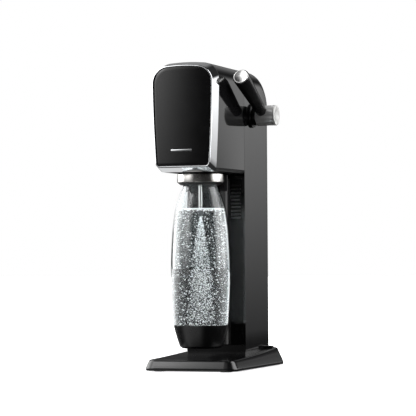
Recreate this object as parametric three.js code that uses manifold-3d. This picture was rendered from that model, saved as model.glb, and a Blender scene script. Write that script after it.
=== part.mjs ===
// Soda carbonator: a counter-top machine that charges a bottle of water with gas.
// Millimetres, +Z up, +Y towards the back. The origin is the centre of the base, on the counter.

import * as THREE from 'three';
import { mergeVertices } from 'three/addons/utils/BufferGeometryUtils.js';
import Module from 'manifold-3d';

const wasm = await Module();
wasm.setup();

// ---------------------------------------------------------------- driving dimensions

const GAP = 0.3; // clearance between pieces that touch
const WALL = 2.6; // wall of the moulded shells

// Whole machine
const HEIGHT = 432.5;
const HALF_WIDTH = 45; // column, and the head where it meets the column, half
const TOP_RADIUS = 24; // rounding of the top edges, seen from the front
const CROWN = 1; // rise of the top between those roundings

// Base
const BASE_WIDTH = 137;
const BASE_DEPTH = 226.6;
const BASE_FRONT_CORNER = 17;
const BASE_REAR_CORNER = 10;
const BASE_LIFT = 1.2; // the rubber feet keep it this far off the counter
const BASE_LIP = 5.4; // top of the upright lip
const BASE_SLOPE = 0.44; // how far the flanks lean in, per height
const BASE_FRONT_TOP = 16.2;
const BASE_MIDDLE_TOP = 20.1;
const BASE_REAR_TOP = 26.4;
const PAD_FRONT_TOP = 24; // pad that the column stands on
const PAD_REAR_TOP = 26.6;
const PAD_INSET = 1;
const KERB = { halfWidth: 56, front: 92, top: 28.4, corner: 8 }; // low kerb round the column's rear
const COVER_PLATE = 2.4;
const FOOT_RADIUS = 9;
const FOOT_INSET = 19; // from the base's edges to a foot's centre
const FOOT_SEAT = 1.1; // depth of the seat that a foot is glued into
const SCREW_SHANK = 1.4;
const SCREW_HEAD = 3.2;
const SCREW_HEAD_HEIGHT = 1.2;
const BASE_SCREW_LENGTH = 9;
const BASE_SCREW_INSET = 36; // from the base's ends to its screws
const COLUMN_SCREW_LENGTH = 9;

// Column
const COLUMN_FRONT = 3.1;
const COLUMN_REAR = 110;
const COLUMN_TOP_RADIUS = 38; // rounding of the rear top edge, seen from the side
const COLUMN_REAR_CORNER = 4;
const REAR_COVER_FRONT = 101;
const REAR_COVER_TOP = 390;

// Front insert of the column
const INSERT_HALF_WIDTH = 41;
const INSERT_BOTTOM = 34;
const INSERT_TOP = 272;
const CHANNEL_HALF_WIDTH = 22;
const CHANNEL_DEPTH = 9;
const RIB_PITCH = 5.2;
const RIB_HEIGHT = 2.4;
const RIB_COUNT = 10;
const RIB_STAND = 0.6;

// Head
const HEAD_FRONT = -130.7;
const HEAD_BOTTOM = 279;
const HEAD_SEAM = 284; // between the head's shell and its underside tray
const HEAD_BOTTOM_RADIUS = 5;
const BEZEL_DEPTH = 22.7;
const BEZEL_LIP = 1.8;
const HEAD_HALF_WIDTH = 46.4; // at the bezel, near the top
const HEAD_BOTTOM_HALF_WIDTH = 41.7; // at the bezel: the flanks lean in towards the bottom
const PANEL_HALF_WIDTH = 42.9;
const PANEL_BOTTOM_HALF_WIDTH = 38.5;
const PANEL_BOTTOM = 286.6;
const PANEL_TOP = 425.2;
const PANEL_RECESS = 0.5;
const PANEL_THICKNESS = 3.4;
const PANEL_TOP_RADIUS = 22;
const PANEL_BOTTOM_RADIUS = 5;
const PANEL_LEDGE = 2;
const FLANK_EASE = 1.6; // how the leaning flanks ease into the straight top part
const BADGE = { width: 31, height: 2.4, x: -2, z: 308.5, depth: 0.8 };

// Lever
const LEVER_Y = 37.3;
const LEVER_Z = 364.5;
const SHAFT_RADIUS = 5;
const SHAFT_LEFT_END = -40;
const BUSH_RADIUS = 7.7;
const FLANGE_RADIUS = 17.3;
const FLANGE_THICKNESS = 2.7;
const HUB_RADIUS = 14.7;
const HUB_COLLAR_END = 54;
const HUB_SLEEVE_END = 81;
const HUB_END = 83.2;
const HANDLE_X = 63.5;
const HANDLE_LENGTH = 113.5;
const HANDLE_LIFT = 25.7; // degrees above level, at rest
const GRIP_TIP_RADIUS = 12;
const GRIP_ROOT_RADIUS = 7.6;
const END_DISC_RADIUS = 10.9;
const END_DISC_THICKNESS = 1.6;
const CAM_RADIUS = 13;
const CAM_OFFSET = 3.5;
const CAM_ANGLE = -10; // degrees, of the cam's centre, from straight back
const CAM_HALF_WIDTH = 6;
const RETURN_SPRING = { from: 10, to: 20 }; // along the shaft

// Valve train
const CYLINDER_Y = 69.3;
const CYLINDER_RADIUS = 29.75;
const CYLINDER_BOTTOM = 37;
const CYLINDER_NECK_RADIUS = 13;
const CYLINDER_NECK_TOP = 340;
const VALVE_RADIUS = 10;
const VALVE_TOP = 358;
const VALVE_COLLAR_RADIUS = 13.5;
const VALVE_COLLAR = { bottom: 346, top: 353 };
const PIN_RADIUS = 1.4;
const PIN_LENGTH = 10.3;
const VALVE_TRAVEL = 4; // how far the lever drives the valve pin
const YOKE = { front: 50, rear: 96, thickness: 3.5 };
const BLOCK = { halfWidth: 16, front: 55, rear: 84, bottom: 359.2, top: 378 };
const PLUNGER_RADIUS = 3;
const PLUNGER_TOP = 387.6;
const PLUNGER_HEAD = { radius: 5.5, height: 2 };
const ROCKER_Y = 53;
const ROCKER_Z = 395;
const ROCKER_HALF_WIDTH = 5;
const ROCKER_PIN_RADIUS = 2.5;
const LOCK_Y = 60;
const LOCK_Z = 385;
const LOCK_ARM = { inner: 20, thickness: 3, hub: 5, reach: 35, drop: 6 };
const RELIEF = { x: 11.5, z: 369, radius: 3.6, length: 9 };
const TUBE_RADIUS = 2;

// Chassis
const CHASSIS_CLEARANCE = 3.25; // between the gas cylinder and the chassis plates beside it
const CHASSIS_INNER = CYLINDER_RADIUS + CHASSIS_CLEARANCE;
const CHASSIS_PLATE = 2;
const CHASSIS = { front: -98, rear: 92, bottom: 296, top: 412, rearTop: 396 };
const TIE_RADIUS = 4;

// Bottle and its holder
const BOTTLE_Y = -59;
const BOTTLE_WALL = 1.6;
const CUP_WALL = 2.1;
const NECK_RADIUS = 16.4;
const BOTTLE_TOP = 286;
const BOTTLE_SHAPE = [ // radius at height, above the base cup
  [39, 64.3], [40.8, 94], [42, 125], [42.2, 155], [40.4, 192],
  [38, 214], [35, 231], [29.7, 248.4], [25.1, 260.3], [20.5, 268],
];
const CUP_SHAPE = [[26.4, 31.4], [30.5, 34.2], [33.4, 43], [36.6, 54], [39, 64]];
const COLLAR = { radius: 33, bottom: 265.4, top: 277.5 };
const HOLDER_RADIUS = 27;
const HOLDER_TOP = 300;
const HOLDER_LIP = { bottom: 262, bottomRadius: 28, radius: 32 };
const HOLDER_CAVITY = 25.8;
const HOLDER_PIVOT_Y = BOTTLE_Y + 16.9; // behind the bottle, so that its weight closes the holder
const HOLDER_PIVOT_Z = 310;
const HOLDER_PIVOT_RADIUS = 3;
const HOLDER_LUG = { outer: 24, inner: 20, radius: 7 };
const BANJO = { radius: 5.8, from: 1 - CHASSIS_INNER, to: -HOLDER_LUG.outer - 1.5 };
const GUARD = { inner: 33.3, outer: 39, bottom: 253.5, top: 276.5, from: 28, to: 147 };
const UNDERSIDE_HOLE = { halfWidth: 34.4, front: BOTTLE_Y - 43.5, rear: -9, corner: 14 };
const NOZZLE_RADIUS = 2.6;
const NOZZLE_TIP = { radius: 3.6, bottom: 216.5, top: 228 };
const SEAL = { inner: 6, outer: 17, top: 292.7 };

// ---------------------------------------------------------------- materials

const plastic = (color, roughness) => new THREE.MeshStandardMaterial({ color, roughness, metalness: 0 });
const metal = (color, roughness) => new THREE.MeshStandardMaterial({ color, roughness, metalness: 1 });

const GLOSS_BLACK = plastic(0x1b1b1c, 0.18);
const SATIN_BLACK = plastic(0x202022, 0.42);
const PANEL_BLACK = plastic(0x101011, 0.1);
const MATT_BLACK = plastic(0x161617, 0.6);
const GREY_MOULDING = plastic(0x5b5d60, 0.5);
const RUBBER = plastic(0x151515, 0.85);
const WHITE_CAP = plastic(0xe9e9e7, 0.25);
const CLEAR = new THREE.MeshStandardMaterial({
  color: 0xf2f6f7, roughness: 0.04, metalness: 0, transparent: true, opacity: 0.3,
});
const CHROME = metal(0xd8d9da, 0.08);
const BRUSHED_STEEL = metal(0xb9b8b6, 0.3);
const ZINC = metal(0x9a9da0, 0.4);
const BRASS = metal(0xb08d4a, 0.3);
const TUBING = plastic(0xdedfdc, 0.35);

// ---------------------------------------------------------------- outlines

const point = (x, y) => new THREE.Vector2(x, y);
const radians = THREE.MathUtils.degToRad;

/** Points on a round stretch, angles in degrees. */
function arc(x, y, radius, from, to, steps) {
  return Array.from({ length: steps + 1 }, (_, i) => {
    const angle = radians(from + ((to - from) * i) / steps);
    return point(x + radius * Math.cos(angle), y + radius * Math.sin(angle));
  });
}

const circle = (x, y, radius, sides = 20) => arc(x, y, radius, 0, 360, sides).slice(0, sides);

/** Rectangle between two corners; its low and high corners are rounded in four steps each. */
function block(x0, y0, x1, y1, low = 0, high = low) {
  if (low <= 0) return [point(x0, y0), point(x1, y0), point(x1, y1), point(x0, y1)];
  return [
    ...arc(x1 - low, y0 + low, low, -90, 0, 4),
    ...arc(x1 - high, y1 - high, high, 0, 90, 4),
    ...arc(x0 + high, y1 - high, high, 90, 180, 4),
    ...arc(x0 + low, y0 + low, low, 180, 270, 4),
  ];
}

/** Front view of the head: flanks that lean in towards the bottom, rounded top edges, a crowned top. */
function faceOutline({ half, bottomHalf, bottom, top, topRadius, bottomRadius, crown = CROWN }) {
  const shoulder = top - crown - topRadius;
  const foot = bottom + bottomRadius;
  const flank = [0.25, 0.5, 0.75].map((u) => {
    const lean = (half - bottomHalf) * (1 - u) ** FLANK_EASE;
    return point(half - lean, foot + (shoulder - foot) * u);
  });
  const right = [
    ...arc(bottomHalf - bottomRadius, foot, bottomRadius, -90, 0, 3),
    ...flank,
    ...arc(half - topRadius, shoulder, topRadius, 0, 90, 6),
  ];
  const left = right.map((p) => point(-p.x, p.y)).reverse();
  return [...right, point(0, top), ...left];
}

/** The same outline, moved in by a margin all round. */
function inset(face, margin) {
  return {
    ...face,
    half: face.half - margin,
    bottomHalf: face.bottomHalf - margin,
    bottom: face.bottom + margin,
    top: face.top - margin,
    topRadius: face.topRadius - margin,
    bottomRadius: Math.max(face.bottomRadius - margin, 0.5),
  };
}

const panelFace = {
  half: PANEL_HALF_WIDTH, bottomHalf: PANEL_BOTTOM_HALF_WIDTH, bottom: PANEL_BOTTOM, top: PANEL_TOP,
  topRadius: PANEL_TOP_RADIUS, bottomRadius: PANEL_BOTTOM_RADIUS,
};
const bezelFace = {
  half: HEAD_HALF_WIDTH, bottomHalf: HEAD_BOTTOM_HALF_WIDTH, bottom: HEAD_BOTTOM, top: HEIGHT,
  topRadius: TOP_RADIUS, bottomRadius: HEAD_BOTTOM_RADIUS,
};
const rearFace = { ...bezelFace, half: HALF_WIDTH, bottomHalf: HALF_WIDTH };
const columnFace = { ...rearFace, bottom: 0 };

// ---------------------------------------------------------------- solids

/** Closed three.js geometry to a solid that can be cut and joined. */
function solid(geometry) {
  const bare = geometry.clone();
  bare.deleteAttribute('normal');
  bare.deleteAttribute('uv');
  const merged = mergeVertices(bare, 1e-4);
  const corners = [];
  for (let i = 0; i < merged.index.count; i += 3) {
    const [a, b, c] = [0, 1, 2].map((k) => merged.index.getX(i + k));
    if (a !== b && b !== c && c !== a) corners.push([a, b, c]);
  }
  const at = (i) => new THREE.Vector3().fromBufferAttribute(merged.attributes.position, i);
  const volume = corners.reduce((sum, [a, b, c]) => sum + at(a).dot(at(b).cross(at(c))), 0);
  const outward = volume > 0 ? corners : corners.map(([a, b, c]) => [a, c, b]);
  const vertProperties = new Float32Array(merged.attributes.position.array);
  const triVerts = new Uint32Array(outward.flat());
  return new wasm.Manifold(new wasm.Mesh({ numProp: 3, vertProperties, triVerts }));
}

const X = new THREE.Vector3(1, 0, 0);
const Y = new THREE.Vector3(0, 1, 0);
const Z = new THREE.Vector3(0, 0, 1);

// A prism's outline lies across its axis: (y, z) for x, (x, z) for y, (x, y) for z.
const PRISM_FRAME = {
  x: (from) => new THREE.Matrix4().makeBasis(Y, Z, X).setPosition(from, 0, 0),
  y: (from, to) => new THREE.Matrix4().makeBasis(X, Z, Y.clone().negate()).setPosition(0, to, 0),
  z: (from) => new THREE.Matrix4().setPosition(0, 0, from),
};

function prism(axis, outline, from, to) {
  const geometry = new THREE.ExtrudeGeometry(new THREE.Shape(outline), {
    depth: to - from, bevelEnabled: false,
  });
  return solid(geometry.applyMatrix4(PRISM_FRAME[axis](from, to)));
}

const rod = (axis, a, b, radius, from, to, sides = 20) =>
  prism(axis, circle(a, b, radius, sides), from, to);

/** Box from its lowest to its highest corner. */
function box(low, high) {
  return prism('z', block(low[0], low[1], high[0], high[1]), low[2], high[2]);
}

/** Turned piece: its profile holds [radius, height] and closes on the axis or on itself. */
function turned(profile, axis = 'z', sides = 28) {
  const closed = profile[0][0] > 0 ? [...profile, profile[0]] : profile;
  const geometry = new THREE.LatheGeometry(closed.map(([r, h]) => point(r, h)), sides);
  if (axis === 'z') geometry.rotateX(Math.PI / 2);
  if (axis === 'x') geometry.rotateZ(-Math.PI / 2);
  if (axis === '-y') geometry.rotateX(Math.PI);
  return solid(geometry);
}

/** Skin through rings of equal point count, closed at both ends. */
function loft(rings) {
  const count = rings[0].length;
  const centre = (ring) => ring.reduce((sum, p) => sum.add(p), new THREE.Vector3()).divideScalar(count);
  const vertices = [...rings.flat(), centre(rings[0]), centre(rings[rings.length - 1])];
  const first = vertices.length - 2;
  const lastRing = (rings.length - 1) * count;
  const index = [];
  for (let i = 0; i < count; i += 1) {
    const next = (i + 1) % count;
    for (let ring = 0; ring < rings.length - 1; ring += 1) {
      const low = ring * count;
      const high = low + count;
      index.push(low + i, low + next, high + next, low + i, high + next, high + i);
    }
    index.push(first, next, i, first + 1, lastRing + i, lastRing + next);
  }
  const geometry = new THREE.BufferGeometry().setFromPoints(vertices);
  geometry.setIndex(index);
  return solid(geometry);
}

const ringAtY = (outline, y) => outline.map((p) => new THREE.Vector3(p.x, y, p.y));
const ringAtZ = (outline, z) => outline.map((p) => new THREE.Vector3(p.x, p.y, z));

/** Coil spring along z or x, standing between two heights. */
function coil(axis, radius, wire, from, to, turns) {
  const perTurn = 8;
  const path = new THREE.CatmullRomCurve3(Array.from({ length: turns * perTurn + 1 }, (_, i) => {
    const angle = (i / perTurn) * Math.PI * 2;
    const height = from + wire + ((to - from - 2 * wire) * i) / (turns * perTurn);
    return new THREE.Vector3(radius * Math.cos(angle), radius * Math.sin(angle), height);
  }));
  const section = new THREE.Shape(circle(0, 0, wire, 6));
  const geometry = new THREE.ExtrudeGeometry(section, { steps: turns * 10, extrudePath: path });
  if (axis === 'x') geometry.rotateY(Math.PI / 2);
  return solid(geometry);
}

// ---------------------------------------------------------------- scene graph

const carbonator = new THREE.Group();
const base = new THREE.Group();
const lever = new THREE.Group();
const handle = new THREE.Group();
const cylinder = new THREE.Group();
const holder = new THREE.Group();
lever.position.set(0, LEVER_Y, LEVER_Z);
handle.position.set(HANDLE_X, 0, 0);
handle.rotation.x = -radians(HANDLE_LIFT);
cylinder.position.set(0, CYLINDER_Y, 0);
holder.position.set(0, BOTTLE_Y, 0);
carbonator.add(base, lever, cylinder, holder);
lever.add(handle);

/** Adds one named piece to a group. */
function piece(group, name, shape, material, position = [0, 0, 0]) {
  const { vertProperties, triVerts } = shape.getMesh();
  const geometry = new THREE.BufferGeometry();
  geometry.setAttribute('position', new THREE.BufferAttribute(vertProperties, 3));
  geometry.setIndex(new THREE.BufferAttribute(triVerts, 1));
  geometry.computeVertexNormals();
  const mesh = new THREE.Mesh(geometry, material);
  mesh.name = name;
  mesh.position.set(...position);
  group.add(mesh);
}

// ---------------------------------------------------------------- base

const baseHalf = { x: BASE_WIDTH / 2, y: BASE_DEPTH / 2 };
const CORNERS = [['front_left', -1, -1], ['front_right', 1, -1], ['rear_left', -1, 1], ['rear_right', 1, 1]];
const baseScrewAt = (sx, sy) => [sx * (baseHalf.x - 14), sy * (baseHalf.y - BASE_SCREW_INSET)];
const columnScrewAt = (side) => [side * (HALF_WIDTH - 9), COLUMN_FRONT + 12];

/** Height of the base's top at a depth: it rises towards the back in a shallow hollow curve. */
function baseTopAt(y) {
  const share = (y + baseHalf.y) / BASE_DEPTH;
  const sag = (BASE_FRONT_TOP + BASE_REAR_TOP) / 2 - BASE_MIDDLE_TOP;
  return THREE.MathUtils.lerp(BASE_FRONT_TOP, BASE_REAR_TOP, share) - 4 * sag * share * (1 - share);
}

/** Height of the pad that the column stands on. */
function padTopAt(y) {
  const share = (y - COLUMN_FRONT) / (COLUMN_REAR - COLUMN_FRONT);
  return THREE.MathUtils.lerp(PAD_FRONT_TOP, PAD_REAR_TOP, share);
}

const footAt = (y) => padTopAt(y) + GAP;

/** The base seen from above, moved in by a margin. */
function basePlan(margin) {
  const { x, y } = baseHalf;
  const front = Math.max(BASE_FRONT_CORNER - margin, 2);
  const rear = Math.max(BASE_REAR_CORNER - margin, 1);
  return block(-x + margin, -y + margin, x - margin, y - margin, front, rear);
}

/** The base's flanks, moved in by a margin: an upright lip, then leaning in up to the kerb's height. */
function baseFlanks(margin, bottom) {
  const outline = (lean) => basePlan(margin + lean);
  return loft([
    ringAtZ(outline(0), bottom),
    ringAtZ(outline(0), BASE_LIP),
    ringAtZ(outline(BASE_SLOPE * (KERB.top - BASE_LIP)), KERB.top),
  ]);
}

/** The base's outer form, moved in by a margin, up to its hollow top. */
function baseForm(margin, bottom) {
  const reach = baseHalf.y + 1;
  const steps = 10;
  const top = Array.from({ length: steps + 1 }, (_, i) => {
    const y = reach - (2 * reach * i) / steps;
    return point(y, baseTopAt(y) - margin);
  });
  const profile = [point(-reach, bottom - 1), point(reach, bottom - 1), ...top];
  return baseFlanks(margin, bottom).intersect(prism('x', profile, -baseHalf.x, baseHalf.x));
}

/** The pad under the column and the kerb round the column's rear. */
function columnSeat() {
  const half = HALF_WIDTH - PAD_INSET;
  const front = COLUMN_FRONT + PAD_INSET;
  const low = BASE_MIDDLE_TOP - WALL;
  const pad = prism('x', [
    point(front, low), point(COLUMN_REAR, low), point(COLUMN_REAR, padTopAt(COLUMN_REAR)),
    point(front, padTopAt(front)),
  ], -half, half);
  const { halfWidth, corner } = KERB;
  const kerb = prism('z', block(-halfWidth, KERB.front, halfWidth, baseHalf.y, 1, corner), low, KERB.top);
  const column = prism('x', [
    point(0, padTopAt(0)), point(COLUMN_REAR + GAP, padTopAt(COLUMN_REAR)),
    point(COLUMN_REAR + GAP, KERB.top + 1), point(0, KERB.top + 1),
  ], -HALF_WIDTH - GAP, HALF_WIDTH + GAP);
  return pad.add(kerb.subtract(column)).intersect(baseFlanks(0, BASE_LIFT)).subtract(baseForm(WALL, 0));
}

function basePlate() {
  let plate = baseForm(0, BASE_LIFT).subtract(baseForm(WALL, 0)).add(columnSeat());
  for (const [, sx, sy] of CORNERS) {
    const [x, y] = baseScrewAt(sx, sy);
    const roof = baseTopAt(y) - 1;
    plate = plate.add(rod('z', x, y, 4.5, BASE_LIFT + COVER_PLATE + GAP, roof, 12));
    plate = plate.subtract(rod('z', x, y, SCREW_SHANK + GAP, 0, BASE_LIFT + BASE_SCREW_LENGTH + 1, 12));
  }
  for (const side of [-1, 1]) {
    const [x, y] = columnScrewAt(side);
    plate = plate.subtract(rod('z', x, y, SCREW_SHANK + GAP, 0, BASE_REAR_TOP, 12));
  }
  return plate;
}

function undersideCover() {
  let cover = prism('z', basePlan(WALL + GAP), BASE_LIFT, BASE_LIFT + COVER_PLATE);
  for (const [x, y] of footPlaces().values()) {
    cover = cover.subtract(rod('z', x, y, FOOT_RADIUS + GAP, 0, BASE_LIFT + FOOT_SEAT, 16));
  }
  for (const [, sx, sy] of CORNERS) {
    const [x, y] = baseScrewAt(sx, sy);
    const seat = BASE_LIFT + SCREW_HEAD_HEIGHT + GAP;
    cover = cover.subtract(rod('z', x, y, SCREW_HEAD + GAP, 0, seat, 12));
    cover = cover.subtract(rod('z', x, y, SCREW_SHANK + GAP, 0, BASE_LIFT + COVER_PLATE + 1, 12));
  }
  return cover;
}

function footPlaces() {
  const places = new Map([['foot_centre', [0, 0]]]);
  for (const [corner, sx, sy] of CORNERS) {
    places.set(`foot_${corner}`, [sx * (baseHalf.x - FOOT_INSET), sy * (baseHalf.y - FOOT_INSET)]);
  }
  return places;
}

const screw = (length) => turned([
  [0, 0], [SCREW_HEAD, 0], [SCREW_HEAD, SCREW_HEAD_HEIGHT], [SCREW_SHANK, SCREW_HEAD_HEIGHT],
  [SCREW_SHANK, length], [0, length],
], 'z', 12);

piece(base, 'base_plate', basePlate(), SATIN_BLACK);
piece(base, 'base_underside_cover', undersideCover(), MATT_BLACK);
for (const [name, [x, y]] of footPlaces()) {
  const foot = rod('z', 0, 0, FOOT_RADIUS, 0, BASE_LIFT + FOOT_SEAT - GAP, 16);
  piece(base, name, foot, RUBBER, [x, y, 0]);
}
for (const [corner, sx, sy] of CORNERS) {
  piece(base, `base_screw_${corner}`, screw(BASE_SCREW_LENGTH), ZINC, [...baseScrewAt(sx, sy), BASE_LIFT]);
}
for (const [side, name] of [[-1, 'column_screw_left'], [1, 'column_screw_right']]) {
  const [x, y] = columnScrewAt(side);
  const head = baseTopAt(y) - WALL - SCREW_HEAD_HEIGHT - 2 * GAP;
  piece(base, name, screw(padTopAt(y) - head + COLUMN_SCREW_LENGTH), ZINC, [x, y, head]);
}

// ---------------------------------------------------------------- column

/** The column's outer form, moved in by a margin. */
function columnForm(margin) {
  const front = COLUMN_FRONT + margin;
  const rear = COLUMN_REAR - margin;
  const top = HEIGHT - margin;
  const radius = COLUMN_TOP_RADIUS - margin;
  const corner = COLUMN_REAR_CORNER;
  const half = HALF_WIDTH - margin;
  const side = [
    point(front, footAt(front) + margin), point(rear, footAt(rear) + margin),
    ...arc(rear - radius, top - radius, radius, 0, 90, 12), point(front, top),
  ];
  const plan = [
    point(-half, front), point(half, front), ...arc(half - corner, rear - corner, corner, 0, 90, 3),
    ...arc(-half + corner, rear - corner, corner, 90, 180, 3),
  ];
  return prism('y', faceOutline(inset(columnFace, margin)), front, rear)
    .intersect(prism('x', side, -half, half))
    .intersect(prism('z', plan, 0, top));
}

function columnShell() {
  let shell = columnForm(0).subtract(columnForm(WALL));
  for (const side of [-1, 1]) {
    const [x, y] = columnScrewAt(side);
    const tip = footAt(y) + COLUMN_SCREW_LENGTH;
    shell = shell.add(rod('z', x, y, 4, footAt(y) + WALL / 2, tip + WALL, 16));
    shell = shell.subtract(rod('z', x, y, SCREW_SHANK + GAP, 0, tip + GAP, 12));
  }
  const behind = COLUMN_REAR + 1;
  const rearHole = box([-HALF_WIDTH - 1, REAR_COVER_FRONT - GAP, 0],
    [HALF_WIDTH + 1, behind, REAR_COVER_TOP + GAP]);
  const insertHole = prism('y', block(
    -INSERT_HALF_WIDTH - GAP, INSERT_BOTTOM - GAP, INSERT_HALF_WIDTH + GAP, INSERT_TOP + GAP,
  ), 0, COLUMN_FRONT + WALL + 1);
  const passage = prism('y', block(
    -CHASSIS_INNER - 6, HEAD_SEAM + 8, CHASSIS_INNER + 6, HEIGHT - 10, 8,
  ), 0, COLUMN_FRONT + WALL + 1);
  const shaftHole = rod('x', LEVER_Y, LEVER_Z, BUSH_RADIUS + GAP, HALF_WIDTH - 5, HALF_WIDTH + 1);
  return shell.subtract(rearHole).subtract(insertHole).subtract(passage).subtract(shaftHole);
}

/** Front insert: a shallow concave channel down the middle, with rows of ribs beside its top. */
function columnInsert() {
  const half = INSERT_HALF_WIDTH;
  const edge = CHANNEL_HALF_WIDTH;
  const radius = (edge ** 2 + CHANNEL_DEPTH ** 2) / (2 * CHANNEL_DEPTH);
  const centre = COLUMN_FRONT + CHANNEL_DEPTH - radius;
  const sweep = THREE.MathUtils.radToDeg(Math.asin(edge / radius));
  const back = COLUMN_FRONT + WALL;
  const plan = [
    point(-half, COLUMN_FRONT), ...arc(0, centre, radius, 90 + sweep, 90 - sweep, 12),
    point(half, COLUMN_FRONT), point(half, back), point(edge + 1, back),
    ...arc(0, centre, radius + WALL, 90 - sweep, 90 + sweep, 12), point(-edge - 1, back), point(-half, back),
  ].reverse();
  let insert = prism('z', plan, INSERT_BOTTOM, INSERT_TOP);
  for (let i = 0; i < RIB_COUNT; i += 1) {
    const z = INSERT_TOP - 8 - i * RIB_PITCH;
    for (const side of [-1, 1]) {
      const ends = [side * (edge + 2), side * (half - 2)].sort((a, b) => a - b);
      const front = COLUMN_FRONT - RIB_STAND;
      insert = insert.add(box([ends[0], front, z - RIB_HEIGHT], [ends[1], COLUMN_FRONT + 1, z]));
    }
  }
  return insert;
}

function rearCover() {
  const slice = box([-HALF_WIDTH - 1, REAR_COVER_FRONT, 0], [HALF_WIDTH + 1, COLUMN_REAR + 1, REAR_COVER_TOP]);
  const hollow = box([-HALF_WIDTH, REAR_COVER_FRONT - 1, 0], [HALF_WIDTH, COLUMN_REAR, REAR_COVER_TOP - WALL]);
  return columnForm(0).intersect(slice).subtract(columnForm(WALL).intersect(hollow));
}

piece(carbonator, 'column_shell', columnShell(), GLOSS_BLACK);
piece(carbonator, 'column_insert', columnInsert(), SATIN_BLACK);
piece(carbonator, 'rear_cover', rearCover(), SATIN_BLACK);

// ---------------------------------------------------------------- head

const bezelRear = HEAD_FRONT + BEZEL_DEPTH;

/** The head behind its bezel: the leaning flanks turn straight towards the column. */
function headForm(margin, front, rear) {
  const span = COLUMN_FRONT - bezelRear;
  const stations = [0, 0.35, 0.7, 1];
  return loft(stations.map((u) => {
    const y = u === 0 ? front : u === 1 ? rear : bezelRear + span * u;
    const face = {
      ...rearFace,
      half: THREE.MathUtils.lerp(bezelFace.half, rearFace.half, u),
      bottomHalf: THREE.MathUtils.lerp(bezelFace.bottomHalf, rearFace.bottomHalf, u),
    };
    return ringAtY(faceOutline(inset(face, margin)), y);
  }));
}

const headTube = headForm(0, bezelRear + GAP, COLUMN_FRONT - GAP)
  .subtract(headForm(WALL, bezelRear - 1, COLUMN_FRONT + 1));

function headShell() {
  const reach = HEAD_HALF_WIDTH + 1;
  const below = box([-reach, HEAD_FRONT, 0], [reach, COLUMN_FRONT + 1, HEAD_SEAM]);
  return headTube.subtract(below);
}

function headUnderside() {
  const reach = HEAD_HALF_WIDTH + 1;
  const above = box([-reach, HEAD_FRONT, HEAD_SEAM - GAP], [reach, COLUMN_FRONT + 1, HEIGHT + 1]);
  const hole = UNDERSIDE_HOLE;
  const mouth = prism('z', block(-hole.halfWidth, hole.front, hole.halfWidth, hole.rear, hole.corner),
    HEAD_BOTTOM - 1, HEAD_SEAM);
  return headTube.subtract(above).subtract(mouth);
}

function chromeBezel() {
  const lip = inset(panelFace, -BEZEL_LIP);
  const ring = loft([ringAtY(faceOutline(lip), HEAD_FRONT), ringAtY(faceOutline(bezelFace), bezelRear)]);
  const seat = prism('y', faceOutline(inset(panelFace, -GAP)), HEAD_FRONT - 1, panelBack + GAP);
  const throat = prism('y', faceOutline(inset(panelFace, PANEL_LEDGE)), HEAD_FRONT - 1, bezelRear + 1);
  return ring.subtract(seat).subtract(throat);
}

const panelFront = HEAD_FRONT + PANEL_RECESS;
const panelBack = panelFront + PANEL_THICKNESS;

const badgeOutline = (margin) => block(
  BADGE.x - BADGE.width / 2 - margin, BADGE.z - BADGE.height / 2 - margin,
  BADGE.x + BADGE.width / 2 + margin, BADGE.z + BADGE.height / 2 + margin, BADGE.height / 3,
);

function frontPanel() {
  return prism('y', faceOutline(panelFace), panelFront, panelBack)
    .subtract(prism('y', badgeOutline(GAP), HEAD_FRONT - 1, panelFront + BADGE.depth + GAP));
}

piece(carbonator, 'head_shell', headShell(), GLOSS_BLACK);
piece(carbonator, 'head_underside', headUnderside(), MATT_BLACK);
piece(carbonator, 'chrome_bezel', chromeBezel(), CHROME);
piece(carbonator, 'front_panel', frontPanel(), PANEL_BLACK);
piece(carbonator, 'panel_badge', prism('y', badgeOutline(0), panelFront, panelFront + BADGE.depth), CHROME);

// ---------------------------------------------------------------- chassis

const tiePlaces = [['chassis_tie_front', -88, 402], ['chassis_tie_middle', 8, 402], ['chassis_tie_lower', 14, 306]];

/** Side plate, from its left face to its right one. */
function chassisPlate(left, right) {
  const { front, rear, bottom, top, rearTop } = CHASSIS;
  const outline = [
    point(front, bottom), point(rear, bottom), point(rear, rearTop), point(rear - 22, top), point(front, top),
  ];
  const cuts = [
    rod('x', LEVER_Y, LEVER_Z, BUSH_RADIUS + GAP, left - 1, right + 1),
    rod('x', HOLDER_PIVOT_Y, HOLDER_PIVOT_Z, HOLDER_PIVOT_RADIUS + GAP, left - 1, right + 1, 12),
    rod('x', ROCKER_Y, ROCKER_Z, ROCKER_PIN_RADIUS + GAP, left - 1, right + 1, 12),
    rod('x', LOCK_Y, LOCK_Z, HOLDER_PIVOT_RADIUS + GAP, left - 1, right + 1, 12),
  ];
  return cuts.reduce((plate, cut) => plate.subtract(cut), prism('x', outline, left, right));
}

function cylinderYoke() {
  const half = CHASSIS_INNER - GAP;
  const low = VALVE_COLLAR.bottom - YOKE.thickness - 1.2;
  const slot = VALVE_RADIUS + 2 * GAP;
  const plate = box([-half, YOKE.front, low], [half, YOKE.rear, low + YOKE.thickness]);
  return plate
    .subtract(rod('z', 0, CYLINDER_Y, slot, low - 1, low + YOKE.thickness + 1))
    .subtract(box([-slot, CYLINDER_Y, low - 1], [slot, YOKE.rear + 1, low + YOKE.thickness + 1]));
}

const CHASSIS_OUTER = CHASSIS_INNER + CHASSIS_PLATE;
piece(carbonator, 'chassis_plate_right', chassisPlate(CHASSIS_INNER, CHASSIS_OUTER), ZINC);
piece(carbonator, 'chassis_plate_left', chassisPlate(-CHASSIS_OUTER, -CHASSIS_INNER), ZINC);
for (const [name, y, z] of tiePlaces) {
  const half = CHASSIS_INNER - GAP;
  piece(carbonator, name, rod('x', 0, 0, TIE_RADIUS, -half, half, 16), ZINC, [0, y, z]);
}
piece(carbonator, 'cylinder_yoke', cylinderYoke(), ZINC);

// ---------------------------------------------------------------- lever

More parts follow.
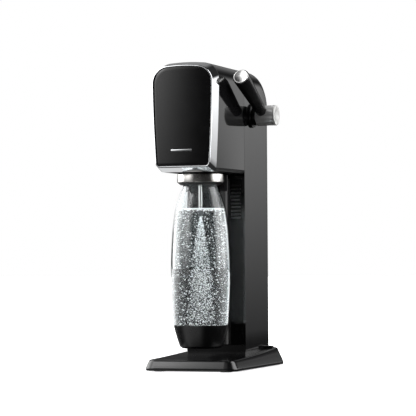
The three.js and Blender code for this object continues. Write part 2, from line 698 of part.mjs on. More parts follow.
const shaftBore = SHAFT_RADIUS + GAP;
const flangeOuter = HALF_WIDTH + GAP + FLANGE_THICKNESS;

function flangeBush() {
  return rod('x', 0, 0, BUSH_RADIUS, CHASSIS_INNER - 2, HALF_WIDTH + GAP + 1)
    .add(turned([
      [0, HALF_WIDTH + GAP], [FLANGE_RADIUS, HALF_WIDTH + GAP], [FLANGE_RADIUS, flangeOuter - 1],
      [FLANGE_RADIUS - 1, flangeOuter], [0, flangeOuter],
    ], 'x'))
    .subtract(rod('x', 0, 0, shaftBore, CHASSIS_INNER - 3, flangeOuter + 1));
}

function hubRing(radius, from, to, chamfer) {
  return turned([
    [shaftBore, from], [radius, from], [radius, to - chamfer], [radius - chamfer, to], [shaftBore, to],
  ], 'x');
}

/** Grip: a slightly tapering bar, hollowed at its root to sit on the hub. */
function handleGrip() {
  const root = HUB_RADIUS - 4;
  const tip = HANDLE_LENGTH - END_DISC_THICKNESS;
  const bar = turned([
    [0, root], [GRIP_ROOT_RADIUS, root], [GRIP_TIP_RADIUS, tip - 1], [GRIP_TIP_RADIUS - 1, tip], [0, tip],
  ], '-y');
  const seat = rod('x', 0, 0, HUB_RADIUS + GAP, -20, 20, 48);
  const disc = turned([
    [0, tip - 1], [END_DISC_RADIUS + GAP, tip - 1], [END_DISC_RADIUS + GAP, tip + 1], [0, tip + 1],
  ], '-y');
  return bar.subtract(seat).subtract(disc);
}

/** Silver disc let into the grip's end. */
function endDisc() {
  const seat = HANDLE_LENGTH - END_DISC_THICKNESS - 1 + GAP;
  return turned([
    [0, seat], [END_DISC_RADIUS, seat], [END_DISC_RADIUS, HANDLE_LENGTH - 0.8],
    [END_DISC_RADIUS - 0.8, HANDLE_LENGTH], [0, HANDLE_LENGTH],
  ], '-y');
}

function leverCam() {
  const y = CAM_OFFSET * Math.cos(radians(CAM_ANGLE));
  const z = CAM_OFFSET * Math.sin(radians(CAM_ANGLE));
  return rod('x', y, z, CAM_RADIUS, -CAM_HALF_WIDTH, CAM_HALF_WIDTH, 32)
    .subtract(rod('x', 0, 0, shaftBore, -CAM_HALF_WIDTH - 1, CAM_HALF_WIDTH + 1));
}

piece(lever, 'lever_shaft', rod('x', 0, 0, SHAFT_RADIUS, SHAFT_LEFT_END, HUB_SLEEVE_END - 1), ZINC);
piece(lever, 'lever_bush_left', rod('x', 0, 0, BUSH_RADIUS, -CHASSIS_INNER - 5, -CHASSIS_INNER + 3)
  .subtract(rod('x', 0, 0, shaftBore, -CHASSIS_INNER - 6, -CHASSIS_INNER + 4)), GREY_MOULDING);
piece(lever, 'lever_flange_bush', flangeBush(), SATIN_BLACK);
piece(lever, 'hub_collar', hubRing(HUB_RADIUS - 0.9, flangeOuter + GAP, HUB_COLLAR_END, 0.5), SATIN_BLACK);
piece(lever, 'hub_sleeve', hubRing(HUB_RADIUS, HUB_COLLAR_END + GAP, HUB_SLEEVE_END, 0.4), CHROME);
piece(lever, 'hub_end_cap', turned([
  [0, HUB_SLEEVE_END + GAP], [HUB_RADIUS, HUB_SLEEVE_END + GAP], [HUB_RADIUS, HUB_END - 2],
  [HUB_RADIUS - 0.7, HUB_END - 0.6], [HUB_RADIUS - 2.2, HUB_END], [0, HUB_END],
], 'x'), WHITE_CAP);
piece(lever, 'lever_cam', leverCam(), ZINC);
piece(lever, 'lever_return_spring', coil(
  'x', SHAFT_RADIUS + 2, 0.8, RETURN_SPRING.from, RETURN_SPRING.to, 3,
), ZINC);
piece(handle, 'handle_grip', handleGrip(), SATIN_BLACK);
piece(handle, 'handle_end_disc', endDisc(), BRUSHED_STEEL);

// ---------------------------------------------------------------- valve train

function valveBlock() {
  const { halfWidth, front, rear, bottom, top } = BLOCK;
  const shoulder = bottom + 1.5;
  return prism('z', block(-halfWidth, front, halfWidth, rear, 4), bottom, top)
    .subtract(rod('z', 0, CYLINDER_Y, PLUNGER_RADIUS + GAP, shoulder, top + 1, 16))
    .subtract(rod('z', 0, CYLINDER_Y, PIN_RADIUS + GAP, bottom - 1, shoulder + 1, 12));
}

function plunger() {
  const tip = VALVE_TOP + 2 * GAP + 0.1;
  const shoulder = BLOCK.bottom + 1.5 + GAP + VALVE_TRAVEL;
  const neck = PLUNGER_TOP - PLUNGER_HEAD.height;
  return turned([
    [0, tip], [PIN_RADIUS, tip], [PIN_RADIUS, shoulder], [PLUNGER_RADIUS, shoulder], [PLUNGER_RADIUS, neck],
    [PLUNGER_HEAD.radius, neck], [PLUNGER_HEAD.radius, PLUNGER_TOP], [0, PLUNGER_TOP],
  ], 'z', 16);
}

/** Two-armed rocker: the cam lifts its front arm and its rear arm pushes the plunger down. */
function rocker() {
  const pad = PLUNGER_TOP + GAP + 0.1;
  const tip = LEVER_Z + CAM_RADIUS + CAM_OFFSET * Math.sin(radians(CAM_ANGLE)) + 0.4;
  const outline = [
    point(LEVER_Y - 1, tip), point(LEVER_Y + 4, tip), point(ROCKER_Y - 9, ROCKER_Z - 9),
    point(ROCKER_Y - 1, ROCKER_Z - 5), point(ROCKER_Y + 7, pad), point(CYLINDER_Y + 3.2, pad),
    point(CYLINDER_Y + 3.2, pad + 5), point(ROCKER_Y + 3, ROCKER_Z + 4.5), point(ROCKER_Y - 3, ROCKER_Z + 4.5),
    point(LEVER_Y - 1, ROCKER_Z - 7),
  ];
  const half = ROCKER_HALF_WIDTH;
  return prism('x', outline, -half, half)
    .subtract(rod('x', ROCKER_Y, ROCKER_Z, ROCKER_PIN_RADIUS + GAP, -half - 1, half + 1, 16));
}

/** Fork that clamps the cylinder: two arms on trunnions, joined by a finger bar at the rear. */
function lockLever() {
  const { inner, thickness, hub, reach, drop } = LOCK_ARM;
  const tail = { y: LOCK_Y + reach, z: LOCK_Z - drop };
  const arm = [
    ...arc(LOCK_Y, LOCK_Z, hub, 80, 260, 8), point(tail.y, tail.z - 3), point(tail.y + 3, tail.z),
    point(tail.y, tail.z + 3),
  ];
  let fork = box([-inner - 1, tail.y - 3, tail.z - 3], [inner + 1, tail.y + 1, tail.z + 3]);
  for (const side of [-1, 1]) {
    const near = side > 0 ? inner : -inner - thickness;
    const far = side > 0 ? CHASSIS_OUTER : -inner - 1;
    const start = side > 0 ? inner + 1 : -CHASSIS_OUTER;
    fork = fork.add(prism('x', arm, near, near + thickness));
    fork = fork.add(rod('x', LOCK_Y, LOCK_Z, HOLDER_PIVOT_RADIUS, start, far, 16));
  }
  return fork;
}

/** Gas line from the valve block, over the lever shaft, down to the banjo on the holder's pivot. */
function gasTube() {
  const end = (BANJO.from + BANJO.to) / 2;
  const path = new THREE.CatmullRomCurve3([
    [-10, BLOCK.front - 2 * GAP, 370], [-10, BLOCK.front - 4, 370.2], [-16, BLOCK.front - 10, 374],
    [-23, LEVER_Y, 378.5], [end + 2, 18, 373], [end + 1, -6, 352], [end, -26, 331],
    [end, HOLDER_PIVOT_Y + 2, HOLDER_PIVOT_Z + 12], [end, HOLDER_PIVOT_Y, HOLDER_PIVOT_Z + BANJO.radius + 0.5],
  ].map(([x, y, z]) => new THREE.Vector3(x, y, z)));
  const section = new THREE.Shape(circle(0, 0, TUBE_RADIUS, 8));
  return solid(new THREE.ExtrudeGeometry(section, { steps: 32, extrudePath: path }));
}

function banjo() {
  return rod('x', HOLDER_PIVOT_Y, HOLDER_PIVOT_Z, BANJO.radius, BANJO.from, BANJO.to)
    .subtract(rod('x', HOLDER_PIVOT_Y, HOLDER_PIVOT_Z, HOLDER_PIVOT_RADIUS + GAP, -CHASSIS_INNER, 0, 16));
}

function gasCylinder() {
  return turned([
    [0, CYLINDER_BOTTOM], [23, CYLINDER_BOTTOM], [28, CYLINDER_BOTTOM + 2.5],
    [CYLINDER_RADIUS, CYLINDER_BOTTOM + 8], [CYLINDER_RADIUS, CYLINDER_NECK_TOP - 34],
    [CYLINDER_RADIUS - 2.5, CYLINDER_NECK_TOP - 21], [CYLINDER_RADIUS - 8, CYLINDER_NECK_TOP - 11],
    [CYLINDER_NECK_RADIUS, CYLINDER_NECK_TOP - 5], [CYLINDER_NECK_RADIUS, CYLINDER_NECK_TOP],
    [0, CYLINDER_NECK_TOP],
  ]);
}

function cylinderValve() {
  const well = VALVE_TOP - PIN_LENGTH - VALVE_TRAVEL - GAP;
  return turned([
    [0, CYLINDER_NECK_TOP + GAP], [VALVE_RADIUS, CYLINDER_NECK_TOP + GAP], [VALVE_RADIUS, VALVE_TOP - 1],
    [VALVE_RADIUS - 1, VALVE_TOP], [PIN_RADIUS + GAP + 0.1, VALVE_TOP], [PIN_RADIUS + GAP + 0.1, well], [0, well],
  ], 'z', 24);
}

piece(carbonator, 'valve_block', valveBlock(), BRASS);
piece(carbonator, 'relief_valve', rod(
  'y', RELIEF.x, RELIEF.z, RELIEF.radius, BLOCK.front - RELIEF.length, BLOCK.front - GAP, 12,
), BRASS);
piece(cylinder, 'valve_plunger', plunger(), ZINC);
piece(cylinder, 'plunger_spring', coil(
  'z', PLUNGER_RADIUS + 1.3, 0.5, BLOCK.top + GAP, PLUNGER_TOP - PLUNGER_HEAD.height - GAP, 2,
), ZINC);
piece(carbonator, 'valve_rocker', rocker(), ZINC);
piece(carbonator, 'rocker_pin', rod(
  'x', ROCKER_Y, ROCKER_Z, ROCKER_PIN_RADIUS, -CHASSIS_OUTER, CHASSIS_OUTER, 16,
), ZINC);
piece(carbonator, 'lock_lever', lockLever(), GREY_MOULDING);
piece(carbonator, 'gas_tube', gasTube(), TUBING);
piece(carbonator, 'swivel_banjo', banjo(), BRASS);
piece(cylinder, 'gas_cylinder', gasCylinder(), GREY_MOULDING);
piece(cylinder, 'cylinder_valve', cylinderValve(), BRASS);
piece(cylinder, 'valve_collar', turned([
  [VALVE_RADIUS + GAP, VALVE_COLLAR.bottom], [VALVE_COLLAR_RADIUS, VALVE_COLLAR.bottom],
  [VALVE_COLLAR_RADIUS, VALVE_COLLAR.top], [VALVE_RADIUS + GAP, VALVE_COLLAR.top],
], 'z', 24), GREY_MOULDING);
piece(cylinder, 'valve_pin', rod('z', 0, 0, PIN_RADIUS, VALVE_TOP - PIN_LENGTH + GAP, VALVE_TOP + GAP, 12), ZINC);

// ---------------------------------------------------------------- bottle holder and bottle

function holderBody() {
  const lip = HOLDER_LIP;
  const ledge = COLLAR.bottom - GAP;
  const bell = turned([
    [HOLDER_CAVITY, lip.bottom], [lip.bottomRadius, lip.bottom], [lip.radius, ledge], [HOLDER_RADIUS, ledge],
    [HOLDER_RADIUS, HOLDER_TOP], [NOZZLE_RADIUS + GAP, HOLDER_TOP], [NOZZLE_RADIUS + GAP, SEAL.top + GAP],
    [SEAL.outer + GAP, SEAL.top + GAP], [SEAL.outer + GAP, COLLAR.top], [HOLDER_CAVITY, ledge + 2],
  ]);
  const pivot = HOLDER_PIVOT_Y - BOTTLE_Y;
  const { outer, inner, radius } = HOLDER_LUG;
  const lug = [
    point(-8, HOLDER_TOP - 4), point(pivot + radius, HOLDER_TOP - 4),
    ...arc(pivot, HOLDER_PIVOT_Z, radius, 0, 180, 8),
  ];
  const bore = rod('x', pivot, HOLDER_PIVOT_Z, HOLDER_PIVOT_RADIUS + GAP, -outer - 1, outer + 1, 16);
  return bell
    .add(box([-outer, -8, HOLDER_TOP - 4], [outer, pivot + radius, HOLDER_TOP]))
    .add(prism('x', lug, inner, outer))
    .add(prism('x', lug, -outer, -inner))
    .subtract(bore)
    .subtract(rod('z', 0, 0, NOZZLE_RADIUS + GAP, SEAL.top, HOLDER_TOP + 1, 32));
}

/** Half-round guard behind the bottle's neck. */
function neckGuard() {
  const { inner, outer, bottom, top, from, to } = GUARD;
  return prism('z', [...arc(0, 0, outer, from, to, 20), ...arc(0, 0, inner, to, from, 20)], bottom, top);
}

function collarRing() {
  const bore = HOLDER_RADIUS + GAP;
  const { radius, bottom, top } = COLLAR;
  return turned([[bore, bottom], [radius, bottom], [radius, top - 0.6], [radius - 0.6, top], [bore, top]], 'z', 36);
}

function bottleBody() {
  const foot = [...CUP_SHAPE].map(([r, z]) => [r - CUP_WALL - GAP, z + (z < 40 ? CUP_WALL + GAP : 0)]);
  const outer = [[0, foot[0][1]], ...foot, ...BOTTLE_SHAPE, [NECK_RADIUS, 273], [NECK_RADIUS, BOTTLE_TOP]];
  const inner = outer.slice(1).map(([r, z]) => [r - BOTTLE_WALL, Math.min(z, BOTTLE_TOP)]);
  inner[0][1] += BOTTLE_WALL;
  return turned([...outer, ...inner.reverse(), [0, inner[inner.length - 1][1]]]);
}

function bottleCup() {
  const floor = CUP_SHAPE[0][1] + CUP_WALL;
  const inner = CUP_SHAPE.map(([r, z]) => [r - CUP_WALL, z < 40 ? z + CUP_WALL : z]);
  return turned([[0, CUP_SHAPE[0][1]], ...CUP_SHAPE, ...inner.reverse(), [0, floor]]);
}

piece(holder, 'holder_body', holderBody(), MATT_BLACK);
piece(carbonator, 'holder_pivot_pin', rod(
  'x', HOLDER_PIVOT_Y, HOLDER_PIVOT_Z, HOLDER_PIVOT_RADIUS, -CHASSIS_OUTER, CHASSIS_OUTER, 16,
), ZINC);
piece(holder, 'neck_guard', neckGuard(), MATT_BLACK);
piece(holder, 'collar_ring', collarRing(), BRUSHED_STEEL);
piece(holder, 'neck_seal', turned([
  [SEAL.inner, BOTTLE_TOP + GAP], [SEAL.outer, BOTTLE_TOP + GAP], [SEAL.outer, SEAL.top], [SEAL.inner, SEAL.top],
], 'z', 24), RUBBER);
piece(holder, 'nozzle_tube', rod('z', 0, 0, NOZZLE_RADIUS, NOZZLE_TIP.top + GAP, HOLDER_TOP + 2, 16), MATT_BLACK);
piece(holder, 'nozzle_tip', turned([
  [0, NOZZLE_TIP.bottom], [1.4, NOZZLE_TIP.bottom], [NOZZLE_TIP.radius, NOZZLE_TIP.bottom + 5],
  [NOZZLE_TIP.radius, NOZZLE_TIP.top], [0, NOZZLE_TIP.top],
], 'z', 16), GREY_MOULDING);
piece(holder, 'bottle_body', bottleBody(), CLEAR);
piece(holder, 'bottle_cup', bottleCup(), MATT_BLACK);

export default carbonator;
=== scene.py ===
"""Looks of a counter-top soda carbonator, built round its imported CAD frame.

Sizes are in millimetres, in the frame's axes: +Z up, +Y to the back, +X to the lever side.
"""
import logging
import math
import random
from dataclasses import dataclass
from enum import Enum
from typing import Any, Callable, Iterable, Sequence

import bmesh
import bpy
from mathutils import Euler, Matrix, Vector


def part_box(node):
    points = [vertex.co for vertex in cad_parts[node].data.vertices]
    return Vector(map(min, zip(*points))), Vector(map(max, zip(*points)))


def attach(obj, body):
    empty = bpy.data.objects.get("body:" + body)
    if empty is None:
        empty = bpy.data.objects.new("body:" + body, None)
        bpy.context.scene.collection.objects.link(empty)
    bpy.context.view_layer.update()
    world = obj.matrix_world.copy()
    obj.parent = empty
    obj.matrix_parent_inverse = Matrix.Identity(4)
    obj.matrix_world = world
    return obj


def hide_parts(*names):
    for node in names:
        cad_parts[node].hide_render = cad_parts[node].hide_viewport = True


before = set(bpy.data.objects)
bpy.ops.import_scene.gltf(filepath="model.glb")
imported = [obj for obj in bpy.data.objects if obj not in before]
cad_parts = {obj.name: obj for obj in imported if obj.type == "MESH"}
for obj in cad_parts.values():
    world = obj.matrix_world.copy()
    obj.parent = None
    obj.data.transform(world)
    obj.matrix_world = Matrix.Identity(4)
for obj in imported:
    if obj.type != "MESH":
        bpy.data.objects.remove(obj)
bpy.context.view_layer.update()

log = logging.getLogger("carbonator")

MM = 0.001
GAP = 0.3  # clearance between pieces that touch
WALL = 2.6  # wall of the moulded shells
MERGE = 1e-7  # corners closer than this many metres are one

FLANK_STEPS = 14  # chords up a flank of the head
CROWN_STEPS = 6  # chords from the top's middle to its corner
CORNER_STEPS = 16  # chords in a top corner

Point = tuple[float, float]
Ring = list[Vector]
Profile = Sequence[Point]


# ---------------------------------------------------------------- outlines


def arc(x: float, y: float, radius: float, start: float, end: float, steps: int) -> list[Point]:
    """Points on a round stretch.

    Args:
        x, y: centre of the arc.
        radius: its radius.
        start, end: its angles, in degrees.
        steps: how many chords it has.

    Returns:
        The arc's points, both ends included.
    """
    angles = [math.radians(start + (end - start) * i / steps) for i in range(steps + 1)]
    return [(x + radius * math.cos(a), y + radius * math.sin(a)) for a in angles]


def lerp(a: float, b: float, share: float) -> float:
    """Value a share of the way from a to b."""
    return a + (b - a) * share


def block(x0: float, y0: float, x1: float, y1: float, low: float = 0.0, high: float | None = None,
          steps: int = 8) -> list[Point]:
    """Rectangle with rounded corners.

    Args:
        x0, y0, x1, y1: its lowest and highest corner.
        low, high: radius of the corners at y0 and at y1.
        steps: chords in each corner.

    Returns:
        The outline, anticlockwise.
    """
    high = low if high is None else high
    if low <= 0 and high <= 0:
        return [(x0, y0), (x1, y0), (x1, y1), (x0, y1)]
    return [
        *arc(x1 - low, y0 + low, low, -90, 0, steps), *arc(x1 - high, y1 - high, high, 0, 90, steps),
        *arc(x0 + high, y1 - high, high, 90, 180, steps), *arc(x0 + low, y0 + low, low, 180, 270, steps),
    ]


def eased(profile: Profile, radius: float, steps: int = 4, closed: bool = False) -> list[Point]:
    """Profile with its corners rounded, each no further than 45 % along its sides.

    Args:
        profile: the sharp profile.
        radius: rounding wanted at each corner.
        steps: chords in each rounding.
        closed: whether the first point is a corner too.

    Returns:
        The eased profile.
    """
    points = [Vector(p) for p in profile]
    count = len(points)
    out: list[Point] = []
    for i, corner in enumerate(points):
        if not closed and i in (0, count - 1):
            out.append((corner.x, corner.y))
            continue
        before = points[i - 1] - corner
        after = points[(i + 1) % count] - corner
        turn = before.angle(after, math.pi) if before.length > 0 and after.length > 0 else math.pi
        if turn > math.radians(165):
            out.append((corner.x, corner.y))
            continue
        reach = min(radius / math.tan(turn / 2), 0.45 * before.length, 0.45 * after.length)
        start, end = corner + before.normalized() * reach, corner + after.normalized() * reach
        for k in range(steps + 1):
            t = k / steps
            p = start * (1 - t) ** 2 + corner * 2 * t * (1 - t) + end * t ** 2
            out.append((p.x, p.y))
    return out


def flowing(profile: Profile, per_span: int = 5) -> list[Point]:
    """Smooth curve through the points of a profile.

    Args:
        profile: points that the curve passes through.
        per_span: chords between two of them.

    Returns:
        The curve's points.
    """
    points = [Vector(p) for p in profile]
    out: list[Point] = []
    for i in range(len(points) - 1):
        p0, p1, p2 = points[max(i - 1, 0)], points[i], points[i + 1]
        p3 = points[min(i + 2, len(points) - 1)]
        for k in range(per_span):
            t = k / per_span
            p = 0.5 * (2 * p1 + (p2 - p0) * t + (2 * p0 - 5 * p1 + 4 * p2 - p3) * t ** 2
                       + (3 * p1 - p0 - 3 * p2 + p3) * t ** 3)
            out.append((p.x, p.y))
    return [*out, (points[-1].x, points[-1].y)]


@dataclass(frozen=True)
class Face:
    """Front view of the head, its panel or the column: leaning flanks, rounded top, slight crown."""

    half: float
    bottom_half: float
    bottom: float
    top: float
    top_radius: float
    bottom_radius: float
    crown: float = 1.0
    ease: float = 1.6

    def right_side(self, margin: float = 0.0) -> list[Point]:
        """Points from the right foot up to the middle of the top, moved in by a margin."""
        half, bottom_half = self.half - margin, self.bottom_half - margin
        radius, top = self.top_radius - margin, self.top - margin
        shoulder, foot = top - self.crown - radius, self.bottom + max(self.bottom_radius, margin + 0.5)
        flank = []
        for i in range(FLANK_STEPS):
            share = i / FLANK_STEPS
            lean = (half - bottom_half) * (1 - share) ** self.ease
            flank.append((half - lean, lerp(foot, shoulder, share)))
        crown = []
        for i in range(1, CROWN_STEPS + 1):
            away = 1 - i / CROWN_STEPS
            crown.append(((half - radius) * away, top - self.crown * away ** 2))
        return [*flank, *arc(half - radius, shoulder, radius, 0, 90, CORNER_STEPS), *crown]

    def upper(self, margin: float = 0.0) -> list[Point]:
        """Open line from the right foot over the top to the left foot."""
        right = self.right_side(margin)
        return [*right, *[(-x, z) for x, z in reversed(right[:-1])]]

    def lower(self, margin: float = 0.0) -> list[Point]:
        """Open line from the left foot round the bottom to the right foot."""
        half, bottom = self.bottom_half - margin, self.bottom + margin
        radius = max(self.bottom_radius - margin, 0.5)
        run = half - radius
        return [
            *arc(-run, bottom + radius, radius, 180, 270, 6),
            *[(lerp(-run, run, i / 16), bottom) for i in range(1, 16)],
            *arc(run, bottom + radius, radius, 270, 360, 6),
        ]

    def outline(self, margin: float = 0.0) -> list[Point]:
        """Whole outline, anticlockwise from the right foot."""
        return [*self.upper(margin), *self.lower(margin)[1:-1]]


# ---------------------------------------------------------------- meshes


def at_y(outline: Profile, y: float) -> Ring:
    """Ring of an (x, z) outline at a depth."""
    return [Vector((x, y, z)) for x, z in outline]


def at_z(outline: Profile, z: float) -> Ring:
    """Ring of an (x, y) outline at a height."""
    return [Vector((x, y, z)) for x, y in outline]


def linked(name: str, data: bpy.types.ID) -> bpy.types.Object:
    """New object of the scene with the given data."""
    made = bpy.data.objects.new(name, data)
    bpy.context.scene.collection.objects.link(made)
    return made


def mesh_object(name: str, vertices: Iterable[Vector], faces: Iterable[Sequence[int]]) -> bpy.types.Object:
    """Object from vertices in millimetres, with doubles merged and its faces turned outwards.

    Args:
        name: name of the piece.
        vertices: the corners.
        faces: corner numbers of each face.

    Returns:
        The linked object.
    """
    mesh = bpy.data.meshes.new(name)
    mesh.from_pydata([v * MM for v in vertices], [], list(faces))
    form = bmesh.new()
    form.from_mesh(mesh)
    bmesh.ops.remove_doubles(form, verts=form.verts, dist=MERGE)
    bmesh.ops.dissolve_degenerate(form, edges=form.edges, dist=MERGE)
    bmesh.ops.recalc_face_normals(form, faces=form.faces)
    form.to_mesh(mesh)
    form.free()
    return linked(name, mesh)


def skin(count: int, rings: int, endless: bool) -> list[Sequence[int]]:
    """Four-sided faces between neighbouring rings.

    Args:
        count: points in each ring.
        rings: how many rings there are.
        endless: whether the last ring joins the first.

    Returns:
        Corner numbers of each face.
    """
    faces: list[Sequence[int]] = []
    for k in range(rings if endless else rings - 1):
        low, high = k * count, ((k + 1) % rings) * count
        for i in range(count):
            j = (i + 1) % count
            faces.append((low + i, low + j, high + j, high + i))
    return faces


def loft(name: str, rings: Sequence[Ring], endless: bool = False) -> bpy.types.Object:
    """Skin through closed rings of equal point count.

    Args:
        name: name of the piece.
        rings: the rings in order.
        endless: whether the last ring joins the first; otherwise both ends are capped.

    Returns:
        The object.
    """
    count = len(rings[0])
    faces = skin(count, len(rings), endless)
    if not endless:
        faces += [tuple(range(count)), tuple(range((len(rings) - 1) * count, len(rings) * count))]
    return mesh_object(name, [p for ring in rings for p in ring], faces)


class Axis(Enum):
    """Direction that a turned or prismatic piece runs in, as the matrix from (a, b, along)."""

    X = ((0, 0, 1), (1, 0, 0), (0, 1, 0))
    Y = ((1, 0, 0), (0, 0, 1), (0, 1, 0))
    Z = ((1, 0, 0), (0, 1, 0), (0, 0, 1))

    def place(self, a: float, b: float, along: float) -> Vector:
        """Point from two coordinates across the axis and one along it."""
        return Matrix(self.value) @ Vector((a, b, along))


def prism(name: str, axis: Axis, outline: Profile, low: float, high: float) -> bpy.types.Object:
    """Straight piece with one outline.

    Args:
        name: name of the piece.
        axis: direction that it runs in; the outline is (y, z), (x, z) or (x, y) across it.
        outline: its outline.
        low, high: where it starts and ends along the axis.

    Returns:
        The object.
    """
    return loft(name, [[axis.place(a, b, along) for a, b in outline] for along in (low, high)])


def turned(name: str, profile: Profile, axis: Axis = Axis.Z, centre: Vector = Vector(),
           steps: int = 96) -> bpy.types.Object:
    """Turned piece. Its (radius, height) profile starts and ends on the axis or closes on itself.

    Args:
        name: name of the piece.
        profile: the profile.
        axis: the axis it turns on.
        centre: a point that the axis passes through.
        steps: chords in the round.

    Returns:
        The object.
    """
    turns = [math.tau * i / steps for i in range(steps)]
    points = [
        centre + axis.place(radius * math.cos(t), radius * math.sin(t), height)
        for radius, height in profile for t in turns
    ]
    on_axis = profile[0][0] <= 0
    return mesh_object(name, points, skin(steps, len(profile), not on_axis))


class Cut(Enum):
    """How one solid changes another."""

    REMOVE = "DIFFERENCE"
    KEEP_INSIDE = "INTERSECT"
    JOIN = "UNION"


def carve(piece: bpy.types.Object, cut: Cut, *tools: bpy.types.Object) -> bpy.types.Object:
    """Applies other solids to a piece, one by one, and throws them away.

    Args:
        piece: the piece that is changed.
        cut: what the tools do to it.
        tools: the solids.

    Returns:
        The same piece.
    """
    for tool in tools:
        change = piece.modifiers.new("cut", "BOOLEAN")
        change.operation, change.object, change.solver = cut.value, tool, "EXACT"
        graph = bpy.context.evaluated_depsgraph_get()
        mesh = bpy.data.meshes.new_from_object(piece.evaluated_get(graph))
        piece.modifiers.clear()
        old, piece.data = piece.data, mesh
        mesh.name = piece.name
        bpy.data.meshes.remove(old)
        bpy.data.objects.remove(tool)
    return piece


def soften(piece: bpy.types.Object, width: float, crease: float = 35.0,
           segments: int = 3) -> bpy.types.Object:
    """Rounds a piece's sharp edges and shades the rest smoothly.

    Args:
        piece: the piece.
        width: width of the rounding, in millimetres; 0 leaves the edges sharp.
        crease: edges that turn more than this many degrees are rounded.
        segments: facets in a rounding.

    Returns:
        The same piece.
    """
    piece.data.polygons.foreach_set("use_smooth", [True] * len(piece.data.polygons))
    piece.data.set_sharp_from_angle(angle=math.radians(crease))
    if width > 0:
        bevel = piece.modifiers.new("edge rounding", "BEVEL")
        bevel.width, bevel.segments = width * MM, segments
        bevel.limit_method, bevel.angle_limit = "ANGLE", math.radians(crease)
        bevel.harden_normals = True
    return piece


def join(name: str, pieces: Sequence[bpy.types.Object]) -> bpy.types.Object:
    """One object from several, whose solids stay separate.

    Args:
        name: name of the joined piece.
        pieces: the pieces, which are used up.

    Returns:
        The joined piece.
    """
    form = bmesh.new()
    for piece in pieces:
        form.from_mesh(piece.data)
        bpy.data.objects.remove(piece)
    mesh = bpy.data.meshes.new(name)
    form.to_mesh(mesh)
    form.free()
    return linked(name, mesh)


# ---------------------------------------------------------------- finishes


def linear(colour: str) -> tuple[float, float, float, float]:
    """Linear RGBA of an sRGB hex colour.

    Args:
        colour: six hex digits.

    Returns:
        The linear colour, opaque.
    """
    parts = [int(colour[i:i + 2], 16) / 255 for i in (0, 2, 4)]
    red, green, blue = (c / 12.92 if c <= 0.04045 else ((c + 0.055) / 1.055) ** 2.4 for c in parts)
    return red, green, blue, 1.0


def add_node(tree: bpy.types.NodeTree, kind: str, inputs: dict[Any, Any] | None = None,
             **settings: Any) -> bpy.types.Node:
    """Adds a node, sets it and links it.

    Args:
        tree: the node tree.
        kind: the node's type name.
        inputs: for each input's name or number, a value or the output socket that feeds it.
        settings: the node's own settings.

    Returns:
        The node.
    """
    node = tree.nodes.new(kind)
    for name, value in settings.items():
        setattr(node, name, value)
    for key, value in (inputs or {}).items():
        if isinstance(value, bpy.types.NodeSocket):
            tree.links.new(value, node.inputs[key])
        else:
            node.inputs[key].default_value = value
    return node


class Grain(Enum):
    """How a surface's fine relief runs, as stretch along x, y and z."""

    EVEN = (1.0, 1.0, 1.0)
    ROUND_Z = (0.04, 0.04, 1.0)  # brushed or turned round a vertical axis
    ALONG_Z = (1.0, 1.0, 0.03)  # drawn lengthwise


@dataclass(frozen=True)
class Surface:
    """A named surface of one colour; each kind adds its own shader."""

    name: str
    colour: str

    def shader(self, tree: bpy.types.NodeTree, place: bpy.types.NodeSocket) -> bpy.types.Node:
        """Shader of this kind of surface, fed by the piece's own coordinates."""
        raise NotImplementedError

    def build(self) -> bpy.types.Material:
        """Node material of this surface, made once."""
        if self.name in bpy.data.materials:
            return bpy.data.materials[self.name]
        material = bpy.data.materials.new(self.name)
        material.use_nodes = True
        tree = material.node_tree
        tree.nodes.clear()
        place = add_node(tree, "ShaderNodeTexCoord").outputs["Object"]
        shader = self.shader(tree, place)
        add_node(tree, "ShaderNodeOutputMaterial", {"Surface": shader.outputs[0]})
        return material


@dataclass(frozen=True)
class Finish(Surface):
    """An opaque surface: its shine, its fine relief and how unevenly it shines."""

    roughness: float
    metallic: float = 0.0
    specular: float = 0.5
    grain: Grain = Grain.EVEN
    pitch: float = 0.5  # spacing of the relief, mm
    relief: float = 0.01  # height of the relief, mm
    tint: str = ""  # colour of the cloudier patches
    patch: float = 18.0  # size of those patches, mm
    uneven: float = 0.05  # how far the roughness swings

    def shader(self, tree: bpy.types.NodeTree, place: bpy.types.NodeSocket) -> bpy.types.Node:
        """Fine grain for the relief, slow clouds for the colour and the shine."""
        fine = add_node(tree, "ShaderNodeMapping", {
            "Vector": place, "Scale": [s / (self.pitch * MM) for s in self.grain.value],
        })
        relief = add_node(tree, "ShaderNodeTexNoise", {
            "Vector": fine.outputs[0], "Scale": 1.0, "Detail": 3.0, "Roughness": 0.6,
        })
        bump = add_node(tree, "ShaderNodeBump", {
            "Height": relief.outputs["Fac"], "Distance": self.relief * MM, "Strength": 1.0,
        })
        cloud = add_node(tree, "ShaderNodeTexNoise", {
            "Vector": place, "Scale": 1 / (self.patch * MM), "Detail": 4.0, "Roughness": 0.55,
        })
        shine = add_node(tree, "ShaderNodeMapRange", {
            "Value": cloud.outputs["Fac"], "From Min": 0.3, "From Max": 0.7,
            "To Min": max(self.roughness - self.uneven, 0.02), "To Max": self.roughness + self.uneven,
        })
        colour = add_node(tree, "ShaderNodeMix", {
            "Factor": cloud.outputs["Fac"], 6: linear(self.colour), 7: linear(self.tint or self.colour),
        }, data_type="RGBA")
        return add_node(tree, "ShaderNodeBsdfPrincipled", {
            "Base Color": colour.outputs[2], "Roughness": shine.outputs[0], "Normal": bump.outputs[0],
            "Metallic": self.metallic, "Specular IOR Level": self.specular,
        })


